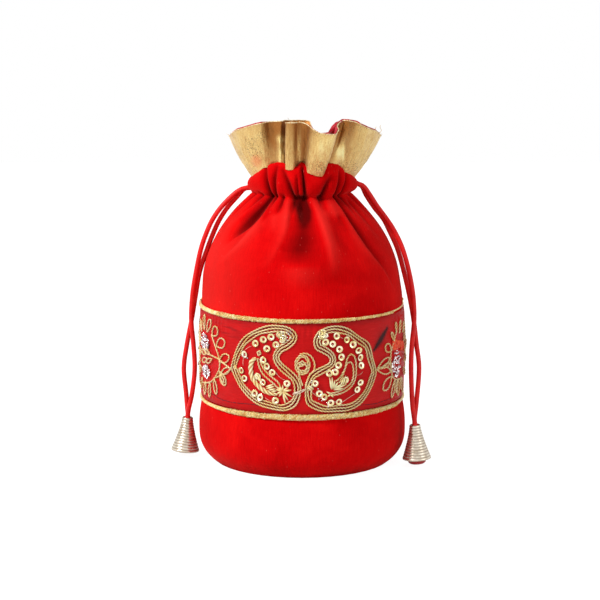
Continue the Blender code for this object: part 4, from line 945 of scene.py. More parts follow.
# half heights round the band: degrees off the front, mm
highSizes = [(-180, 1.15), (-100, 1.35), (-62, 1.4), (-30, 1.25), (0, 1.15), (22, 1.0), (34, 0.62), (50, 0.48), (90, 0.5), (110, 1.0), (180, 1.15)]
lowSizes = [(-180, 1.45), (-95, 1.05), (-60, 1.1), (-40, 1.5), (0, 1.75), (40, 1.65), (58, 1.25), (75, 0.95), (100, 1.2), (180, 1.45)]
goldYarn = Finish("Looped gold yarn", Roughness=0.45, Metallic=0.15)
speck = goldYarn.noise(goldYarn.place(), 1400.0, 2.0, 0.7)
warm = goldYarn.noise(goldYarn.place(), 330.0, 2.0)
yarnTone = goldYarn.ramp(speck * 0.6 + warm * 0.4, (0.36, paint(214, 146, 62)), (0.47, paint(248, 212, 124)), (0.58, paint(255, 248, 188)))
# darker by the shade attribute: painted shade in the grooves between the plies
goldYarn.give(Base_Color=goldYarn.blend(goldYarn.mask("shade").limit(), yarnTone, paint(178, 104, 44)))
goldYarn.bump((speck, 0.0003, 0.7))


def around01(angle, start, stop, soft=0.12):
    # 1 between two angles in degrees, softly 0 outside
    degrees = np.degrees(angle)
    return smoothStep((degrees - start) / (soft * 57) + 0.5) * smoothStep((stop - degrees) / (soft * 57) + 0.5)


def edgingPiece(name, node, height, sizes, seed, smoothPart):
    own = np.random.default_rng(seed)
    count, sides = 1300, 12
    angle = np.linspace(-np.pi, np.pi, count, endpoint=False)
    sizes = np.array(sizes, float)
    rough = 1 - smoothPart(angle)
    size = np.interp(np.degrees(angle), sizes[:, 0], sizes[:, 1]) / 1000
    lump = ripple(angle, np.array(0.0), 14.0, seed) * 0.07 + ripple(angle, np.array(0.0), 37.0, seed + 1) * 0.07
    thin = 1 - np.clip(size / 0.0012, 0.5, 1.0)
    line = around(angle, edging["centre"] - 0.0014 * thin, height + 0.00010 * ripple(angle, np.array(0.0), 4.0, seed + 2) * (0.3 + rough))
    turn = np.linspace(0, 2 * np.pi, sides, endpoint=False)
    out = around(angle, 1.0 + 0 * angle, 0 * angle)
    # slanting plies of the looped yarn
    slant = np.cos(5 * turn[None, :] + np.round(2 * np.pi * edging["centre"] / 0.0012) * angle[:, None])
    grain = 1 + own.normal(0, 0.11, (count, sides)) * rough[:, None] + (0.14 * slant + lump[:, None]) * rough[:, None]
    depth = edging["depth"] * np.clip(size / 0.0012, 0.5, 1.0)
    grid = line[:, None] + out[:, None] * (depth[:, None] * grain * np.cos(turn))[..., None]
    grid[..., 2] += size[:, None] * grain * np.sin(turn)
    yarn = Pile()
    # painted shade in the grooves between the slanting plies
    yarn.strip(grid, around=True, along=True, flip=True, shade=(0.5 - 0.5 * slant) * rough[:, None] * 0.8)
    for _ in range(edging["loops"]):
        at = own.uniform(-np.pi, np.pi)
        roll, lean, share = own.uniform(-1.1, 1.1), own.uniform(0.5, 1.2), own.uniform(0.75, 1.3)
        if smoothPart(np.array(at)) > 0.5:
            continue
        wide = float(np.interp(math.degrees(at), sizes[:, 0], sizes[:, 1])) / 1000
        middle = around(np.array(at), edging["centre"] + edging["depth"] * math.cos(roll) * 0.9, height + wide * math.sin(roll) * 0.9)
        tall = np.array((0, 0, 1.0))
        outward = np.array((math.sin(at), -math.cos(at), 0.0))
        wayside = np.array((math.cos(at), math.sin(at), 0.0))
        reach = own.uniform(0.34, 0.66) / 1000
        a = wayside * math.cos(lean) + tall * math.sin(lean)
        b = outward * 0.8 + (-wayside * math.sin(lean) + tall * math.cos(lean)) * 0.5
        bend = np.linspace(-0.3, np.pi + 0.3, 6)[:, None]
        loop = middle + reach * (np.cos(bend) * a + np.sin(bend) * b * 0.8)
        tube(yarn, loop, edging["loopThread"] * share, sides=4)
    made = yarn.make(name, goldYarn)
    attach(made, "root")
    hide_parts(node)
    return made


edgingPiece("upperEdging", "band_top_piping", edging["highHeight"], highSizes, 41,
            lambda angle: np.maximum(around01(angle, -100, -54), around01(angle, 60, 100)))
edgingPiece("lowerEdging", "band_bottom_piping", edging["lowHeight"], lowSizes, 47,
            lambda angle: np.maximum(around01(angle, -100, -46), around01(angle, 66, 100)))
print("edgings sewn on")


# Embroidery: more lines of the paisleys
leftRope = [
    (-28.2, 74.4), (-30.8, 72.5), (-31.7, 69.5), (-31.7, 66.2), (-31, 62.9), (-29.2, 60), (-26.3, 57.2), (-23, 55),
    (-19.1, 53.6), (-14.9, 53.2),
]
leftInnerFirst = [
    (-26.7, 74.4), (-26.2, 70.9), (-25.1, 68), (-23, 64.9), (-19.9, 62.4), (-17, 60.2), (-14.7, 57.9), (-13.4, 56.4),
]
leftInnerSecond = [
    (-25.1, 74.1), (-24.5, 71.4), (-22.9, 68.6), (-20.3, 65.9), (-17.4, 63.6), (-14.9, 61.8), (-13.2, 59.6), (-12.6, 57.7),
]
leftTip = [
    (-26.4, 75.7), (-27.6, 77.2), (-27.3, 78.6), (-26.3, 79.3), (-25.2, 78.8), (-24.9, 77.3),
]
rightCommaOuter = [
    (22.1, 59.9), (24.1, 64.3), (25.7, 68.7), (26.7, 73.4), (28.2, 76.1), (30.2, 76.9), (32.3, 75.7), (33.6, 72.5),
    (34, 67.9), (33.7, 63.1), (32.5, 59.3), (30, 56.1), (26, 53.7), (21, 52.3), (16.5, 52.4),
]
rightCommaInner = [
    (20, 61.3), (22.7, 63.7), (25.2, 67.7), (26.8, 71.2), (28.7, 72.3), (30.6, 71.7), (31.7, 69.4), (32.2, 65.5),
    (31.9, 62), (30.6, 59.1), (27.8, 56.8), (23.7, 54.7), (19.2, 53.5), (15.7, 53.3),
]
leftBars = [
    (-11.5, 55.5, -13.4, 58.5), (-11.5, 55.5, -11.5, 59.3), (-11.5, 55.5, -8, 58.3), (-11.5, 55.5, -6.4, 56.3),
    (-11.5, 55.5, -6, 52.1), (-11.5, 55.5, -8.3, 49.9), (-11.5, 55.5, -9.9, 47.4), (-11.5, 55.5, -13.8, 52),
    (-11.5, 55.5, -15.5, 53.6), (-11.5, 55.5, -15.7, 56.3), (-11.5, 55.5, -14.4, 57.7), (-22.1, 57.4, -17, 59.4),
    (-21.7, 56.4, -16.5, 58.2), (-20.4, 55.6, -15.7, 56.7), (-18.7, 54.9, -14.9, 55.5), (-28.3, 65.4, -25.8, 64.6),
    (-28.5, 64, -25.6, 63.2), (-27.9, 62.5, -24.9, 62.2), (-27, 61.4, -24.3, 61.2),
]
rightBars = [
    (17.4, 56.1, 16.5, 60.7), (17.4, 56.1, 16.2, 63.7), (17.8, 56.2, 17.8, 63.6), (18.1, 56.5, 19.6, 61.8),
    (18.3, 56.7, 21.8, 60.5), (18.5, 56.6, 24.6, 59.2), (18.7, 56.3, 26.9, 58.6), (18.7, 55.8, 25, 56.4),
    (25.5, 57.8, 27.7, 63.3), (24.1, 57.5, 26.4, 64.1), (22.8, 57.2, 25.1, 63.5), (17, 53.7, 14.4, 54.9),
    (17, 53.5, 15, 51.8), (16.5, 53.3, 18.7, 51.4), (2.4, 59, 5.8, 55.5), (3.3, 59.4, 6.7, 56.7),
]
leftLinks = [
    (-31.5, 81.3, -36.3, 78), (-36.8, 74, -37.3, 68.9), (-15.7, 66.4, -9.9, 62), (-18.7, 49, -22.6, 50.8),
    (-16.1, 89.5, -19, 88.9),
]
rightLinks = [
    (38.5, 65.2, 34.1, 63.3), (24.2, 47.7, 33.2, 52.3), (19.2, 48.5, 21.4, 48.6), (22.6, 87.6, 24.9, 86.5),
    (3.7, 56.4, 8.8, 51.9),
]
leftClump = [
    (-13.8, 90.4), (-12.5, 88.8), (-13.4, 88.4), (-11.3, 90.1), (-11.3, 86.8), (-12.3, 85.9), (-9.9, 86), (-8.6, 90.2),
    (-7.6, 89.4), (-7.4, 87.8), (-9, 87.3), (-7, 91.1), (-14.4, 88.5), (-36.8, 74.8), (-34.6, 75.3),
]
rightClump = [
    (10.8, 90.4), (12.1, 91), (11.7, 89), (13.4, 89.4), (15.6, 87.6), (10.6, 88.6), (12.6, 88.1), (5.4, 60.7),
    (5.6, 58.9), (16.1, 67.2), (15, 47.3), (15.7, 49.4), (9.2, 55.4), (11.3, 50.5),
]
stitchLeft = [
    (-72.6, 46.9), (-64.3, 46.4), (-54.6, 45.1), (-43.4, 45.1), (-32.4, 45.8), (-24.4, 45.5),
]
stitchRight = [
    (30.7, 44.6), (37.7, 44.5), (47.9, 43.8), (57.1, 44.1), (65, 44.1),
]
# flower loops: where each springs from, its far end and half its width; the last number is how far it stands off
leftPetals = [
    (-76, 84.5, -76.5, 94.6, 2.3, 0.2), (-72, 84, -67, 93, 2.5, 0.1), (-64.6, 83.2, -58.6, 89.2, 3.3, 0.3), (-60.4, 77.6, -51.6, 82, 3.4, 0.1),
    (-57.4, 68.6, -47.6, 73.4, 3.0, 0.3), (-56.4, 60.6, -47.2, 66, 2.2, 0.1), (-57, 62.8, -51.2, 54.4, 2.9, 0.2), (-56, 61, -52.4, 55.8, 1.5, 0.4),
    (-63, 57.6, -60.4, 47.2, 2.2, 0.2), (-68.5, 54, -69.6, 43.8, 2.0, 0.1), (-75, 53, -77, 44, 2.3, 0.3), (-82, 82.5, -86, 90, 2.2, 0.1),
    (-84, 75.5, -90, 80.5, 2.6, 0.3), (-84, 69, -91.2, 70.5, 2.4, 0.2), (-84, 60, -90.6, 57, 2.5, 0.3), (-82, 54, -87, 46, 2.3, 0.1),
    (-66, 71, -74, 73.5, 1.7, 0.9), (-64, 69, -72, 65.5, 1.8, 0.8), (-72, 70.5, -80, 71.5, 2.0, 0.8), (-70, 68, -79, 65, 2.0, 0.9),
]
rightPetals = [
    (70.4, 84.0, 69.4, 91.2, 1.3, 0.2), (75.2, 82.6, 77.5, 91.2, 1.7, 0.1), (82, 82, 86, 88.6, 1.7, 0.2), (67.2, 79.2, 63.4, 86.0, 1.5, 0.4),
    (63.6, 73.6, 57.0, 78.6, 3.0, 0.3), (49.8, 65.6, 62.2, 70.0, 2.5, 0.2), (49.2, 64.8, 63.4, 61.4, 2.6, 0.1), (52.0, 65.0, 61.8, 66.8, 1.5, 0.7),
    (64.6, 58.2, 55.0, 51.0, 3.5, 0.2), (68.5, 55.4, 64.4, 44.4, 2.1, 0.3), (73.4, 55.4, 74.6, 43.8, 2.3, 0.1), (79, 55, 84.6, 43.8, 2.5, 0.3),
    (71.5, 54.5, 70.0, 46.4, 1.4, 0.5), (77, 54.5, 79.6, 46.4, 1.5, 0.5), (83, 70.5, 90.4, 76.6, 2.6, 1.1), (83, 64, 91.2, 66, 2.4, 0.9),
    (83, 60, 90.0, 54.6, 2.4, 0.5), (84, 76, 88.5, 83, 2.0, 0.4),
]
leftStem = [(-66, 83.5), (-61.5, 76.7), (-58.3, 71.7), (-57.2, 66.8), (-58.6, 62.4), (-65.4, 55.6), (-74, 52.6), (-80, 51.6)]
rightStem = [(70.2, 84), (67.6, 79.4), (64.2, 74), (63.4, 68), (64.4, 62), (66.5, 57.4), (71.5, 55), (80, 54.4)]
needlework = {
    "row": 0.00046, "pitch": 0.0021, "lobe": 0.26, "step": 0.00034, "gap": 0.00172, "ground": 0.0634,
    "sequin": 0.00212, "hole": 0.00082, "bead": 0.00056, "barWidth": 0.00048, "link": 0.00011,
}

zari = Finish("Gold zari cord", Roughness=0.4, Metallic=0.05)
spot = zari.place()
speck = zari.noise(spot, 1700.0, 2.0, 0.6)
warm = zari.noise(spot, 120.0, 2.0)
zariGrooveShade = zari.mask("shade")
zariTone = zari.ramp(speck * 0.6 + warm * 0.4, (0.31, paint(240, 186, 90)), (0.43, paint(255, 230, 142)), (0.55, paint(255, 250, 200)))
# painted shade in the grooves between the plies, from the shade attribute
zari.give(Base_Color=zari.blend((zariGrooveShade * 1.0).limit(), zariTone, paint(178, 104, 38)))
zari.bump((speck, 0.0002, 0.5))

sequinFilm = Finish("Pale gold sequin", Roughness=0.16, Metallic=0.7)
tint = sequinFilm.noise(sequinFilm.place(), 300.0, 2.0)
film = sequinFilm.ramp(tint, (0.35, paint(214, 190, 120)), (0.5, paint(244, 228, 172)), (0.62, paint(255, 250, 218)))
# darker by the shade attribute: painted shade
sequinFilm.give(Base_Color=sequinFilm.blend(sequinFilm.mask("shade").limit(), film, paint(150, 128, 70)))

silverBead = Finish("Silver lined bead", Roughness=0.16, Metallic=0.75, Coat_Weight=0.3)
tint = silverBead.noise(silverBead.place(), 380.0, 2.0)
silverBead.give(Base_Color=silverBead.ramp(tint, (0.36, paint(142, 126, 128)), (0.48, paint(222, 212, 214)), (0.6, paint(255, 252, 252))))

paleThread = Finish("Pale sewing thread", Roughness=0.4, Metallic=0.2)
tint = paleThread.noise(paleThread.place(), 700.0, 2.0)
paleThread.give(Base_Color=paleThread.ramp(tint, (0.35, paint(206, 168, 136)), (0.65, paint(246, 236, 214))))

maroonThread = Finish("Maroon sewing thread", Roughness=0.8)
tint = maroonThread.noise(maroonThread.place(), 500.0, 2.0)
maroonThread.give(Base_Color=maroonThread.ramp(tint, (0.35, paint(70, 4, 18)), (0.65, paint(136, 14, 30))))


def onBand(line, middle, lift):
    # a flat line of mm laid on the band; lift is its height above the cloth in metres
    line = np.asarray(line, float) / 1000
    angle = math.radians(middle) + line[:, 0] / needlework["ground"]
    radius = bandRadiusAt(angle, line[:, 1]) + lift
    return around(angle, radius, line[:, 1])


def offAxis(line, middle):
    # straight out from the band at each point of a flat line
    line = np.asarray(line, float)
    return around(math.radians(middle) + line[:, 0] / 1000 / needlework["ground"], 1.0, 0 * line[:, 0])


def couch(pile, points, middle, closed=True, rows=1, lift=0.0, scale=1.0, gap=None, sway=0.0, inward=None):
    # couched cord along a flat line of mm, in parallel rows laid inwards from it
    line = fineCurve(points, needlework["step"] * 1000, closed)
    area = np.sum(line[:-1, 0] * line[1:, 1] - line[1:, 0] * line[:-1, 1])
    turn = inward if inward is not None else (1 if area > 0 else -1)
    gap = needlework["gap"] if gap is None else gap
    for k in range(rows):
        drift = sway * np.sin(np.linspace(0, 2 * np.pi * (7 + 2 * k), len(line)) + 2.0 * k)
        row = offset(line, turn * (needlework["row"] + k * gap + drift) * 1000, closed)
        if closed and k:
            row = evenly(row, needlework["step"] * 1000)
        placed = onBand(row, middle, needlework["row"] * scale * 0.8 + lift)
        up = offAxis(row, middle)
        tube(pile, placed, needlework["row"] * scale, sides=7, closed=closed, up=up[:-1] if closed else up,
             twist=needlework["pitch"], lobe=needlework["lobe"], start=0.0007 * k)


def onCloth(spot, middle):
    # a place on the band with its own directions: out, along the band, up
    angle = math.radians(middle) + spot[0] / 1000 / needlework["ground"]
    centre = onBand([spot], middle, 0.0)[0]
    return centre, np.array((math.sin(angle), -math.cos(angle), 0)), np.array((math.cos(angle), math.sin(angle), 0)), np.array((0, 0, 1.0))


def sequin(pile, spot, middle, own, lift=0.0007, size=1.0):
    # a cupped washer, tipped a little
    centre, out, wayside, tall = onCloth(spot, middle)
    out = out + wayside * own.uniform(-0.26, 0.26) + tall * own.uniform(-0.22, 0.26)
    out /= np.linalg.norm(out)
    across = np.cross(tall, out)
    across /= np.linalg.norm(across)
    rise = np.cross(out, across)
    wide, hole = needlework["sequin"] * size, needlework["hole"] * size
    # the third number of each profile point is painted shade: darker in the hole, at the rim and on the underside
    profile = [(hole, 0.00006, 0.5), (hole + 0.00008, 0.00022, 0.1), (0.5 * (hole + wide), 0.00034, 0.0), (wide - 0.00022, 0.00046, 0.15),
               (wide, 0.00052, 0.5), (wide - 0.00004, 0.00040, 0.9), (0.5 * (hole + wide), 0.00020, 0.9), (hole + 0.00004, 0.0, 0.9)]
    turn = np.linspace(0, 2 * np.pi, 20, endpoint=False)
    facet = 1 + 0.018 * np.cos(10 * turn)
    grid = np.array([[centre + out * (lift + h) + (across * math.cos(t) + rise * math.sin(t)) * r * f for t, f in zip(turn, facet)]
                     for r, h, _ in profile])
    pile.strip(grid, around=True, along=True, shade=np.array([q[2] for q in profile])[:, None], flip=True)


def bead(pile, spot, middle, own, lift=0.0, size=1.0):
    # a squat glass bead set on its side or flat
    centre, out, wayside, tall = onCloth(spot, middle)
    radius = needlework["bead"] * size * own.uniform(0.8, 1.25)
    spin = own.uniform(0, np.pi)
    first = wayside * math.cos(spin) + tall * math.sin(spin)
    second = -wayside * math.sin(spin) + tall * math.cos(spin)
    steps = np.linspace(0.12, np.pi - 0.12, 7)
    turn = np.linspace(0, 2 * np.pi, 10, endpoint=False)
    middlePoint = centre + out * (lift + radius * 0.85)
    grid = np.array([[middlePoint + first * radius * 0.85 * math.cos(u) + (second * math.cos(t) + out * math.sin(t)) * radius * math.sin(u)
                      for t in turn] for u in steps])
    pile.strip(grid, around=True, caps=True)


def bar(pile, ends, middle, own, lift=0.0004):
    # a short flat stroke of gold wire, fatter in its middle
    a, b = np.array(ends[:2]), np.array(ends[2:])
    t = np.linspace(0, 1, 7)[:, None]
    flat = a * (1 - t) + b * t
    arch = np.sin(np.pi * t[:, 0])
    placed = onBand(flat, middle, 0.0) + offAxis(flat, middle) * (lift + own.uniform(0, 0.0003) + 0.0005 * arch)[:, None]
    size = needlework["barWidth"] * (0.55 + 0.6 * arch) * own.uniform(0.85, 1.15)
    # painted shade towards the ends, where the wire dips to the cloth
    tube(pile, placed, size, sides=7, up=offAxis(flat, middle), flat=0.6, shade=(1 - arch)[:, None] * 0.7)


def link(pile, ends, middle, own, lift=0.0003):
    # one loose thread between two stitches
    a, b = np.array(ends[:2]), np.array(ends[2:])
    t = np.linspace(0, 1, 9)[:, None]
    side = np.array((a[1] - b[1], b[0] - a[0])) * own.uniform(-0.12, 0.12)
    flat = a * (1 - t) + b * t + side * np.sin(np.pi * t)
    placed = onBand(flat, middle, 0.0) + offAxis(flat, middle) * (lift + 0.0005 * np.sin(np.pi * t))
    tube(pile, placed, needlework["link"], sides=5, up=offAxis(flat, middle))


def petal(pile, spec, middle, scale=0.92):
    # one loop of cord that springs from a point and comes back to it
    root, far, half, lift = np.array(spec[:2]), np.array(spec[2:4]), spec[4], spec[5] / 1000
    way = far - root
    side = np.array((-way[1], way[0])) / np.linalg.norm(way)
    shape = [(0.0, -0.10), (0.22, -0.62), (0.52, -1.0), (0.82, -0.78), (1.0, 0.0), (0.82, 0.78), (0.52, 1.0), (0.22, 0.62), (0.0, 0.10)]
    points = [root + way * u + side * half * v for u, v in shape]
    couch(pile, points, middle, closed=False, lift=lift, scale=scale, inward=1)


def finishPiece(pile, name, finish, node=None):
    made = pile.make(name, finish)
    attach(made, "root")
    if node:
        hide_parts(node)
    return made


pretzel = [(-2.3, 1.5), (-0.2, 2.7), (2.0, 1.4), (0.9, -0.3), (-1.7, -1.3), (-1.0, -2.8), (1.4, -2.6), (2.2, -1.1), (0.5, 0.3), (-1.9, 0.0)]
rosetteLoop = [(-1.3, 77.6), (1.8, 78.0), (4.6, 76.6), (6.3, 73.9), (6.9, 70.6), (6.2, 67.8), (4.8, 66.4)]
rosetteStems = [[(-2.6, 66.2), (-1.6, 62.6), (-0.2, 58.8)], [(4.2, 66.6), (3.0, 63.0), (1.4, 59.4)], [(-3.4, 67.0), (0, 66.5), (3.6, 67.0)]]
for pair, middle in enumerate((0.0, 126.0, -126.0)):
    own = np.random.default_rng(100 + pair)
    for number, outline, sign in ((2 * pair + 1, leftPaisley, -1), (2 * pair + 2, rightPaisley, 1)):
        pile = Pile()
        couch(pile, outline, middle, rows=3, sway=0.00020)
        finishPiece(pile, f"paisleyCord{number}", zari, f"paisley_{number}")
    pile = Pile()
    rope = fineCurve(leftRope, 0.22)
    girth = 0.00145 * np.interp(np.linspace(0, 1, len(rope)), (0, 0.12, 0.75, 1), (0.5, 1.0, 0.95, 0.55))
    tube(pile, onBand(rope, middle, 0.0005), girth, sides=14, up=offAxis(rope, middle), twist=0.0034, lobe=0.13, plies=3, flat=0.55)
    for line in (leftInnerFirst, leftInnerSecond):
        couch(pile, line, middle, closed=False)
    couch(pile, leftTip, middle, closed=True, lift=0.0001, sway=0.0001)
    for ends in leftBars:
        bar(pile, ends, middle, own)
    finishPiece(pile, f"heartCord{2 * pair + 1}", zari, f"paisley_heart_{2 * pair + 1}")
    pile = Pile()
    couch(pile, rightCommaOuter, middle, closed=False)
    couch(pile, rightCommaInner, middle, closed=False)
    for ends in rightBars:
        bar(pile, ends, middle, own)
    finishPiece(pile, f"heartCord{2 * pair + 2}", zari, f"paisley_heart_{2 * pair + 2}")
    pile = Pile()
    oval = [(0.1 + 4.7 * math.sin(t), 71.6 + 6.3 * math.cos(t)) for t in np.linspace(0, 2 * np.pi, 18, endpoint=False)]
    couch(pile, oval, middle, rows=2, gap=0.00102, sway=0.0001)
    couch(pile, [(0.1 + x, 71.4 + z) for x, z in pretzel], middle, lift=0.0003, gap=0.0, sway=0.0001)
    couch(pile, rosetteLoop, middle, closed=False, inward=1)
    for line in rosetteStems:
        couch(pile, line, middle, closed=False, inward=1)
    finishPiece(pile, f"rosetteCord{pair + 1}", zari, f"rosette_{pair + 1}")
    pile = Pile()
    for spot in leftSequins + rightSequins:
        sequin(pile, spot, middle, own, 0.00035 + own.uniform(0, 0.0003), own.uniform(0.94, 1.05))
    for x, z in leftClump[:6] + rightClump[:4]:
        sequin(pile, (x + own.uniform(-0.5, 0.5), z + own.uniform(-0.5, 0.5)), middle, own, 0.0009, 0.7)
    finishPiece(pile, f"sequins{pair + 1}", sequinFilm)
    pile = Pile()
    for x, z in leftClump + rightClump:
        for _ in range(3):
            bead(pile, (x + own.normal(0, 0.7), z + own.normal(0, 0.7)), middle, own, own.uniform(0, 0.0004), 0.75)
    finishPiece(pile, f"clumpBeads{pair + 1}", silverBead)
    pile = Pile()
    for ends in leftLinks + rightLinks:
        link(pile, ends, middle, own)
    for spot in leftSequins + rightSequins:
        # the stitch that holds each sequin down
        lean = own.uniform(0, 2 * np.pi)
        reach = 1.9
        link(pile, (spot[0], spot[1], spot[0] + reach * math.cos(lean), spot[1] + reach * math.sin(lean)), middle, own, 0.0008)
    for k in range(9):
        # silver thread that ties the two paisleys together
        shift = own.uniform(-0.8, 0.8)
        link(pile, (-5.2 + own.uniform(-1, 1), 54.0 + shift, 1.6 + own.uniform(-1, 1), 56.6 + shift), middle, own, 0.0008)
    finishPiece(pile, f"sewingThreads{pair + 1}", paleThread)
print("paisleys couched")

for node in ("flower_1", "flower_2"):
    lowest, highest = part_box(node)
    hand = 1 if lowest[0] + highest[0] > 0 else -1
    own = np.random.default_rng(7 + hand)
    pile = Pile()
    petals, stem = (rightPetals, rightStem) if hand > 0 else (leftPetals, leftStem)
    for spec in petals:
        petal(pile, spec, 0.0)
    couch(pile, stem, 0.0, closed=False, lift=0.0001)
    if hand < 0:
        couch(pile, [(-46.6, 66.4), (-52, 68.4), (-58, 70.6), (-66, 71.4)], 0.0, closed=False, lift=0.0004)
        couch(pile, [(-46.6, 66.0), (-51, 62.8), (-56, 60.4), (-61, 58.4)], 0.0, closed=False, lift=0.0004)
    finishPiece(pile, f"flowerCord{1 if hand < 0 else 2}", zari, node)
    pile = Pile()
    beds = [(70.3, 64.6, 6.2, 8.4, 1)] if hand > 0 else [(-75.0, 77.6, 6.4, 5.2, 1), (-73.6, 59.4, 6.0, 4.2, 1)]
    for cx, cz, rx, rz, _ in beds:
        for k in range(88):
            turn, far = own.uniform(0, 2 * np.pi), math.sqrt(own.uniform(0, 1))
            place = (cx + rx * far * math.cos(turn), cz + rz * far * math.sin(turn))
            bead(pile, place, 0.0, own, 0.0003 + own.uniform(0, 0.0007) * (1.2 - far), 1.0)
    finishPiece(pile, f"flowerBeads{1 if hand < 0 else 2}", silverBead)
print("flowers couched")

# A patch of short bright orange-red strands in the right flower, and the seam's stitches at the foot of the band
brightCloth = Finish("Bright orange-red cloth", Roughness=0.75, Sheen_Weight=0.2)
tint = brightCloth.noise(brightCloth.place(), 500.0, 3.0)
brightCloth.give(Base_Color=brightCloth.ramp(tint, (0.35, paint(250, 34, 6)), (0.6, paint(255, 104, 44))))
tuft = Pile()
own = np.random.default_rng(77)
for k in range(90):
    t = own.uniform(0, 1)
    a = np.array((64.6 + 19.0 * t, 77.8 - 4.0 * t ** 2 + own.uniform(-2.4, 2.4)))
    way = np.array((own.uniform(1.0, 3.0), own.uniform(-2.6, -0.6)))
    flat = a + way * np.linspace(0, 1, 5)[:, None]
    placed = onBand(flat, 0.0, 0.0003 + own.uniform(0, 0.0006))
    tube(tuft, placed, 0.00060 * np.array((0.5, 1.0, 1.1, 0.9, 0.3)), sides=5, up=offAxis(flat, 0.0))
finishPiece(tuft, "brightTuft", brightCloth)
seamStitches = Pile()
for line in (stitchLeft, stitchRight):
    fine = fineCurve(line, 0.4)
    k = 0
    while k < len(fine) - 3:
        span = int(own.integers(3, 9))
        flat = fine[k:k + span] + own.normal(0, 0.05, (1, 2))
        if len(flat) > 1:
            tube(seamStitches, onBand(flat, 0.0, 0.00005), 0.00024, sides=5, up=offAxis(flat, 0.0))
        k += span + int(own.integers(0, 2))
finishPiece(seamStitches, "seamStitches", maroonThread)
print("tuft and stitches laid")


# Bells of pressed silver metal and their wrapped stoppers
bell = {"height": 0.0210, "top": 0.0034, "rim": 0.0090, "wall": 0.0006, "flare": 1.35, "ribs": 13, "ribDepth": 0.00028}
silverMetal = Finish("Silver bell metal", Roughness=0.3, Metallic=0.85)
tarnish = silverMetal.noise(silverMetal.place(), 420.0, 3.0)
pressed = silverMetal.ramp(tarnish, (0.3, paint(190, 174, 150)), (0.6, paint(228, 218, 200)))
silverMetal.give(Base_Color=silverMetal.blend(silverMetal.mask("shade").limit(), pressed, paint(112, 90, 76)), Roughness=0.22 + 0.2 * tarnish)
silverMetal.bump((tarnish, 0.0003, 0.2))


def lathe(pile, profile, place, sides, shade=None):
    turn = np.linspace(0, 2 * np.pi, sides, endpoint=False)
    grid = np.array([[place(s, r * math.cos(t), r * math.sin(t)) for t in turn] for s, r in profile])
    pile.strip(grid, around=True, flip=True, shade=shade)


def bellPiece(hand, node):
    place = bellFrame(cords[hand + "Top"], cords[hand + "Foot"])
    profile = []
    ribGrooveShade = []
    for s in np.linspace(0, 1, 118):
        radius = bell["top"] + (bell["rim"] - bell["top"]) * s ** bell["flare"]
        rib = bell["ribDepth"] * abs(math.sin(math.pi * bell["ribs"] * s)) ** 0.7
        profile.append((s * bell["height"], radius - bell["ribDepth"] + rib))
        # painted shade in the grooves between the ribs
        ribGrooveShade.append(0.75 * (1 - abs(math.sin(math.pi * bell["ribs"] * s)) ** 0.7) ** 0.8)
    profile += [(bell["height"] + 0.0001, bell["rim"] - 0.0002)]
    for s in (1.0, 0.8, 0.6, 0.4, 0.2, 0.0):
        radius = bell["top"] + (bell["rim"] - bell["top"]) * s ** bell["flare"] - bell["wall"]
        profile.append((s * bell["height"], max(radius, 0.0027)))
    profile.append((0.0, bell["top"] - 0.0004))
    pile = Pile()
    ribGrooveShade += [0.0] * (len(profile) - len(ribGrooveShade))
    lathe(pile, profile, place, 56, np.repeat(np.array(ribGrooveShade)[:, None], 56, 1))
    made = pile.make(f"{hand}Bell", silverMetal)
    return made


wrapCloth = Finish("Red stopper", Roughness=0.6, Sheen_Weight=0.3)
spot = wrapCloth.place()
wound = (wrapCloth.add("ShaderNodeSeparateXYZ", None, {0: spot}, 2) * 7000.0).wave()
wrapCloth.give(Base_Color=wrapCloth.ramp(wound * 0.5 + 0.5, (0.1, paint(140, 6, 12)), (0.7, paint(206, 22, 26))))
wrapCloth.bump((wound, 0.0003, 0.5))


def stopperPiece(hand, slip):
    place = bellFrame(cords[hand + "Top"], cords[hand + "Foot"])
    seat, head = 0.0050 + slip, 0.0034
    profile = [(seat, 0.0001), (seat, 0.7 * head), (seat + 0.0006, head), (seat + 0.0092, 0.0050), (seat + 0.0137, 0.0055),
               (seat + 0.0150, 0.0048), (seat + 0.0153, 0.0036), (seat + 0.0153, 0.0001)]
    fine = [tuple(p) for p in fineCurve(profile, 0.0004)]
    pile = Pile()
    lathe(pile, fine, place, 40)
    made = pile.make(f"{hand}Stopper", wrapCloth)
    return made


leftBell, rightBell = bellPiece("left", "bell_left"), bellPiece("right", "bell_right")
leftStopper, rightStopper = stopperPiece("left", 0.0), stopperPiece("right", 0.0040)
for made, node in ((leftBell, "bell_left"), (rightBell, "bell_right"), (leftStopper, "stopper_left"), (rightStopper, "stopper_right")):
    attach(made, "root")
    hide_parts(node)

cordPieces = {"left": (leftBell, leftStopper), "right": (rightBell, rightStopper)}
for hand in ("left", "right"):
    node = f"drawstring_{hand}"
    for which in ("front", "back", "loop"):
        piece = strandPieces[hand, which]
        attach(piece, "root")
        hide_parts(node)
    for which in ("front", "back"):
        piece = strandPieces[hand, which]
        line = strands[hand, which]
        tuple(line[0])
        list(cordPieces[hand])
print("bells and stoppers hung")


# Carried-over parts get their finishes
for node, finish in (("base_panel", velvet),):
    for piece in (bpy.data.objects.get(node),):
        if piece:
            piece.data.materials.clear()
            piece.data.materials.append(finish.material)

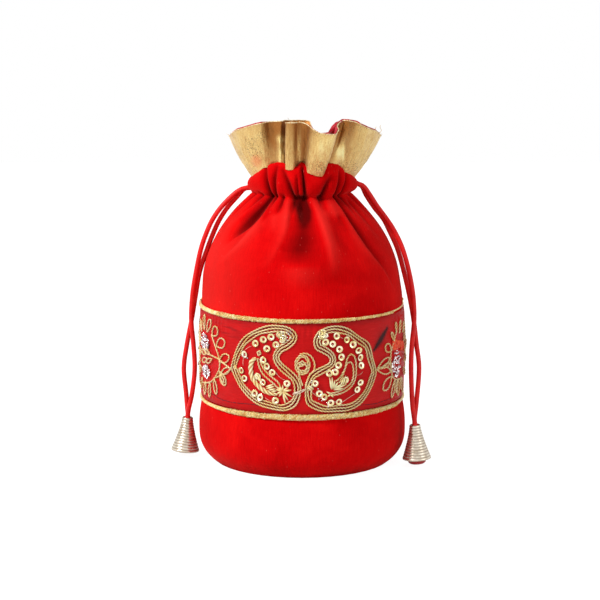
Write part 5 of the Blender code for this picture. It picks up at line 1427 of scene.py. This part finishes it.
# Floor, backdrop and light
studio = {"floor": 1.6, "key": 21.8, "fill": 3.3, "top": 2.0, "world": 0.40}
floorFinish = Finish("White floor", Roughness=0.9, Emission_Strength=0.93)
path = floorFinish.add("ShaderNodeLightPath")
seen = floorFinish.maths("MAXIMUM", path, Wire(floorFinish, path.socket.node.outputs["Is Glossy Ray"]))
floorFinish.give(Base_Color=floorFinish.blend(seen, (0.6, 0.6, 0.6), (0.28, 0.28, 0.28)), Emission_Color=floorFinish.blend(seen, (0.0, 0.0, 0.0), (1.0, 1.0, 1.0)))
floorMesh = bpy.data.meshes.new("floor")
half = studio["floor"]
floorMesh.from_pydata([(-half, -half, 0), (half, -half, 0), (half, half, 0), (-half, half, 0)], [], [(0, 1, 2, 3)])
floor = bpy.data.objects.new("floor", floorMesh)
floor.location.z = -0.0001
bpy.context.scene.collection.objects.link(floor)
floorMesh.materials.append(floorFinish.material)

world = bpy.data.worlds.new("Studio")
bpy.context.scene.world = world
world.use_nodes = True
tree = world.node_tree
back = tree.nodes["Background"]
white = tree.nodes.new("ShaderNodeBackground")
white.inputs["Color"].default_value = (1, 1, 1, 1)
white.inputs["Strength"].default_value = 1.0
back.inputs["Color"].default_value = (1.0, 0.99, 0.97, 1)
back.inputs["Strength"].default_value = studio["world"]
path = tree.nodes.new("ShaderNodeLightPath")
seen = tree.nodes.new("ShaderNodeMath")
seen.operation = "MAXIMUM"
tree.links.new(path.outputs["Is Camera Ray"], seen.inputs[0])
tree.links.new(path.outputs["Is Glossy Ray"], seen.inputs[1])
choose = tree.nodes.new("ShaderNodeMixShader")
tree.links.new(seen.outputs[0], choose.inputs[0])
tree.links.new(back.outputs[0], choose.inputs[1])
tree.links.new(white.outputs[0], choose.inputs[2])
tree.links.new(choose.outputs[0], tree.nodes["World Output"].inputs["Surface"])


def areaLamp(name, place, aim, size, power, colour=(1, 1, 1)):
    lamp = bpy.data.lights.new(name, "AREA")
    lamp.shape = "DISK"
    lamp.size = size
    lamp.energy = power
    lamp.color = colour
    made = bpy.data.objects.new(name, lamp)
    bpy.context.scene.collection.objects.link(made)
    made.location = place
    made.rotation_euler = (Vector(aim) - Vector(place)).to_track_quat("-Z", "Y").to_euler()


areaLamp("keyLamp", (-1.10, -0.70, 1.15), (0, 0, 0.1), 0.35, studio["key"])
areaLamp("fillLamp", (1.1, -0.8, 0.5), (0, 0, 0.1), 0.9, studio["fill"])
areaLamp("topLamp", (0.1, 0.3, 1.3), (0, 0, 0.1), 0.7, studio["top"])

bpy.context.scene.view_settings.view_transform = "Standard"
print("studio lit")
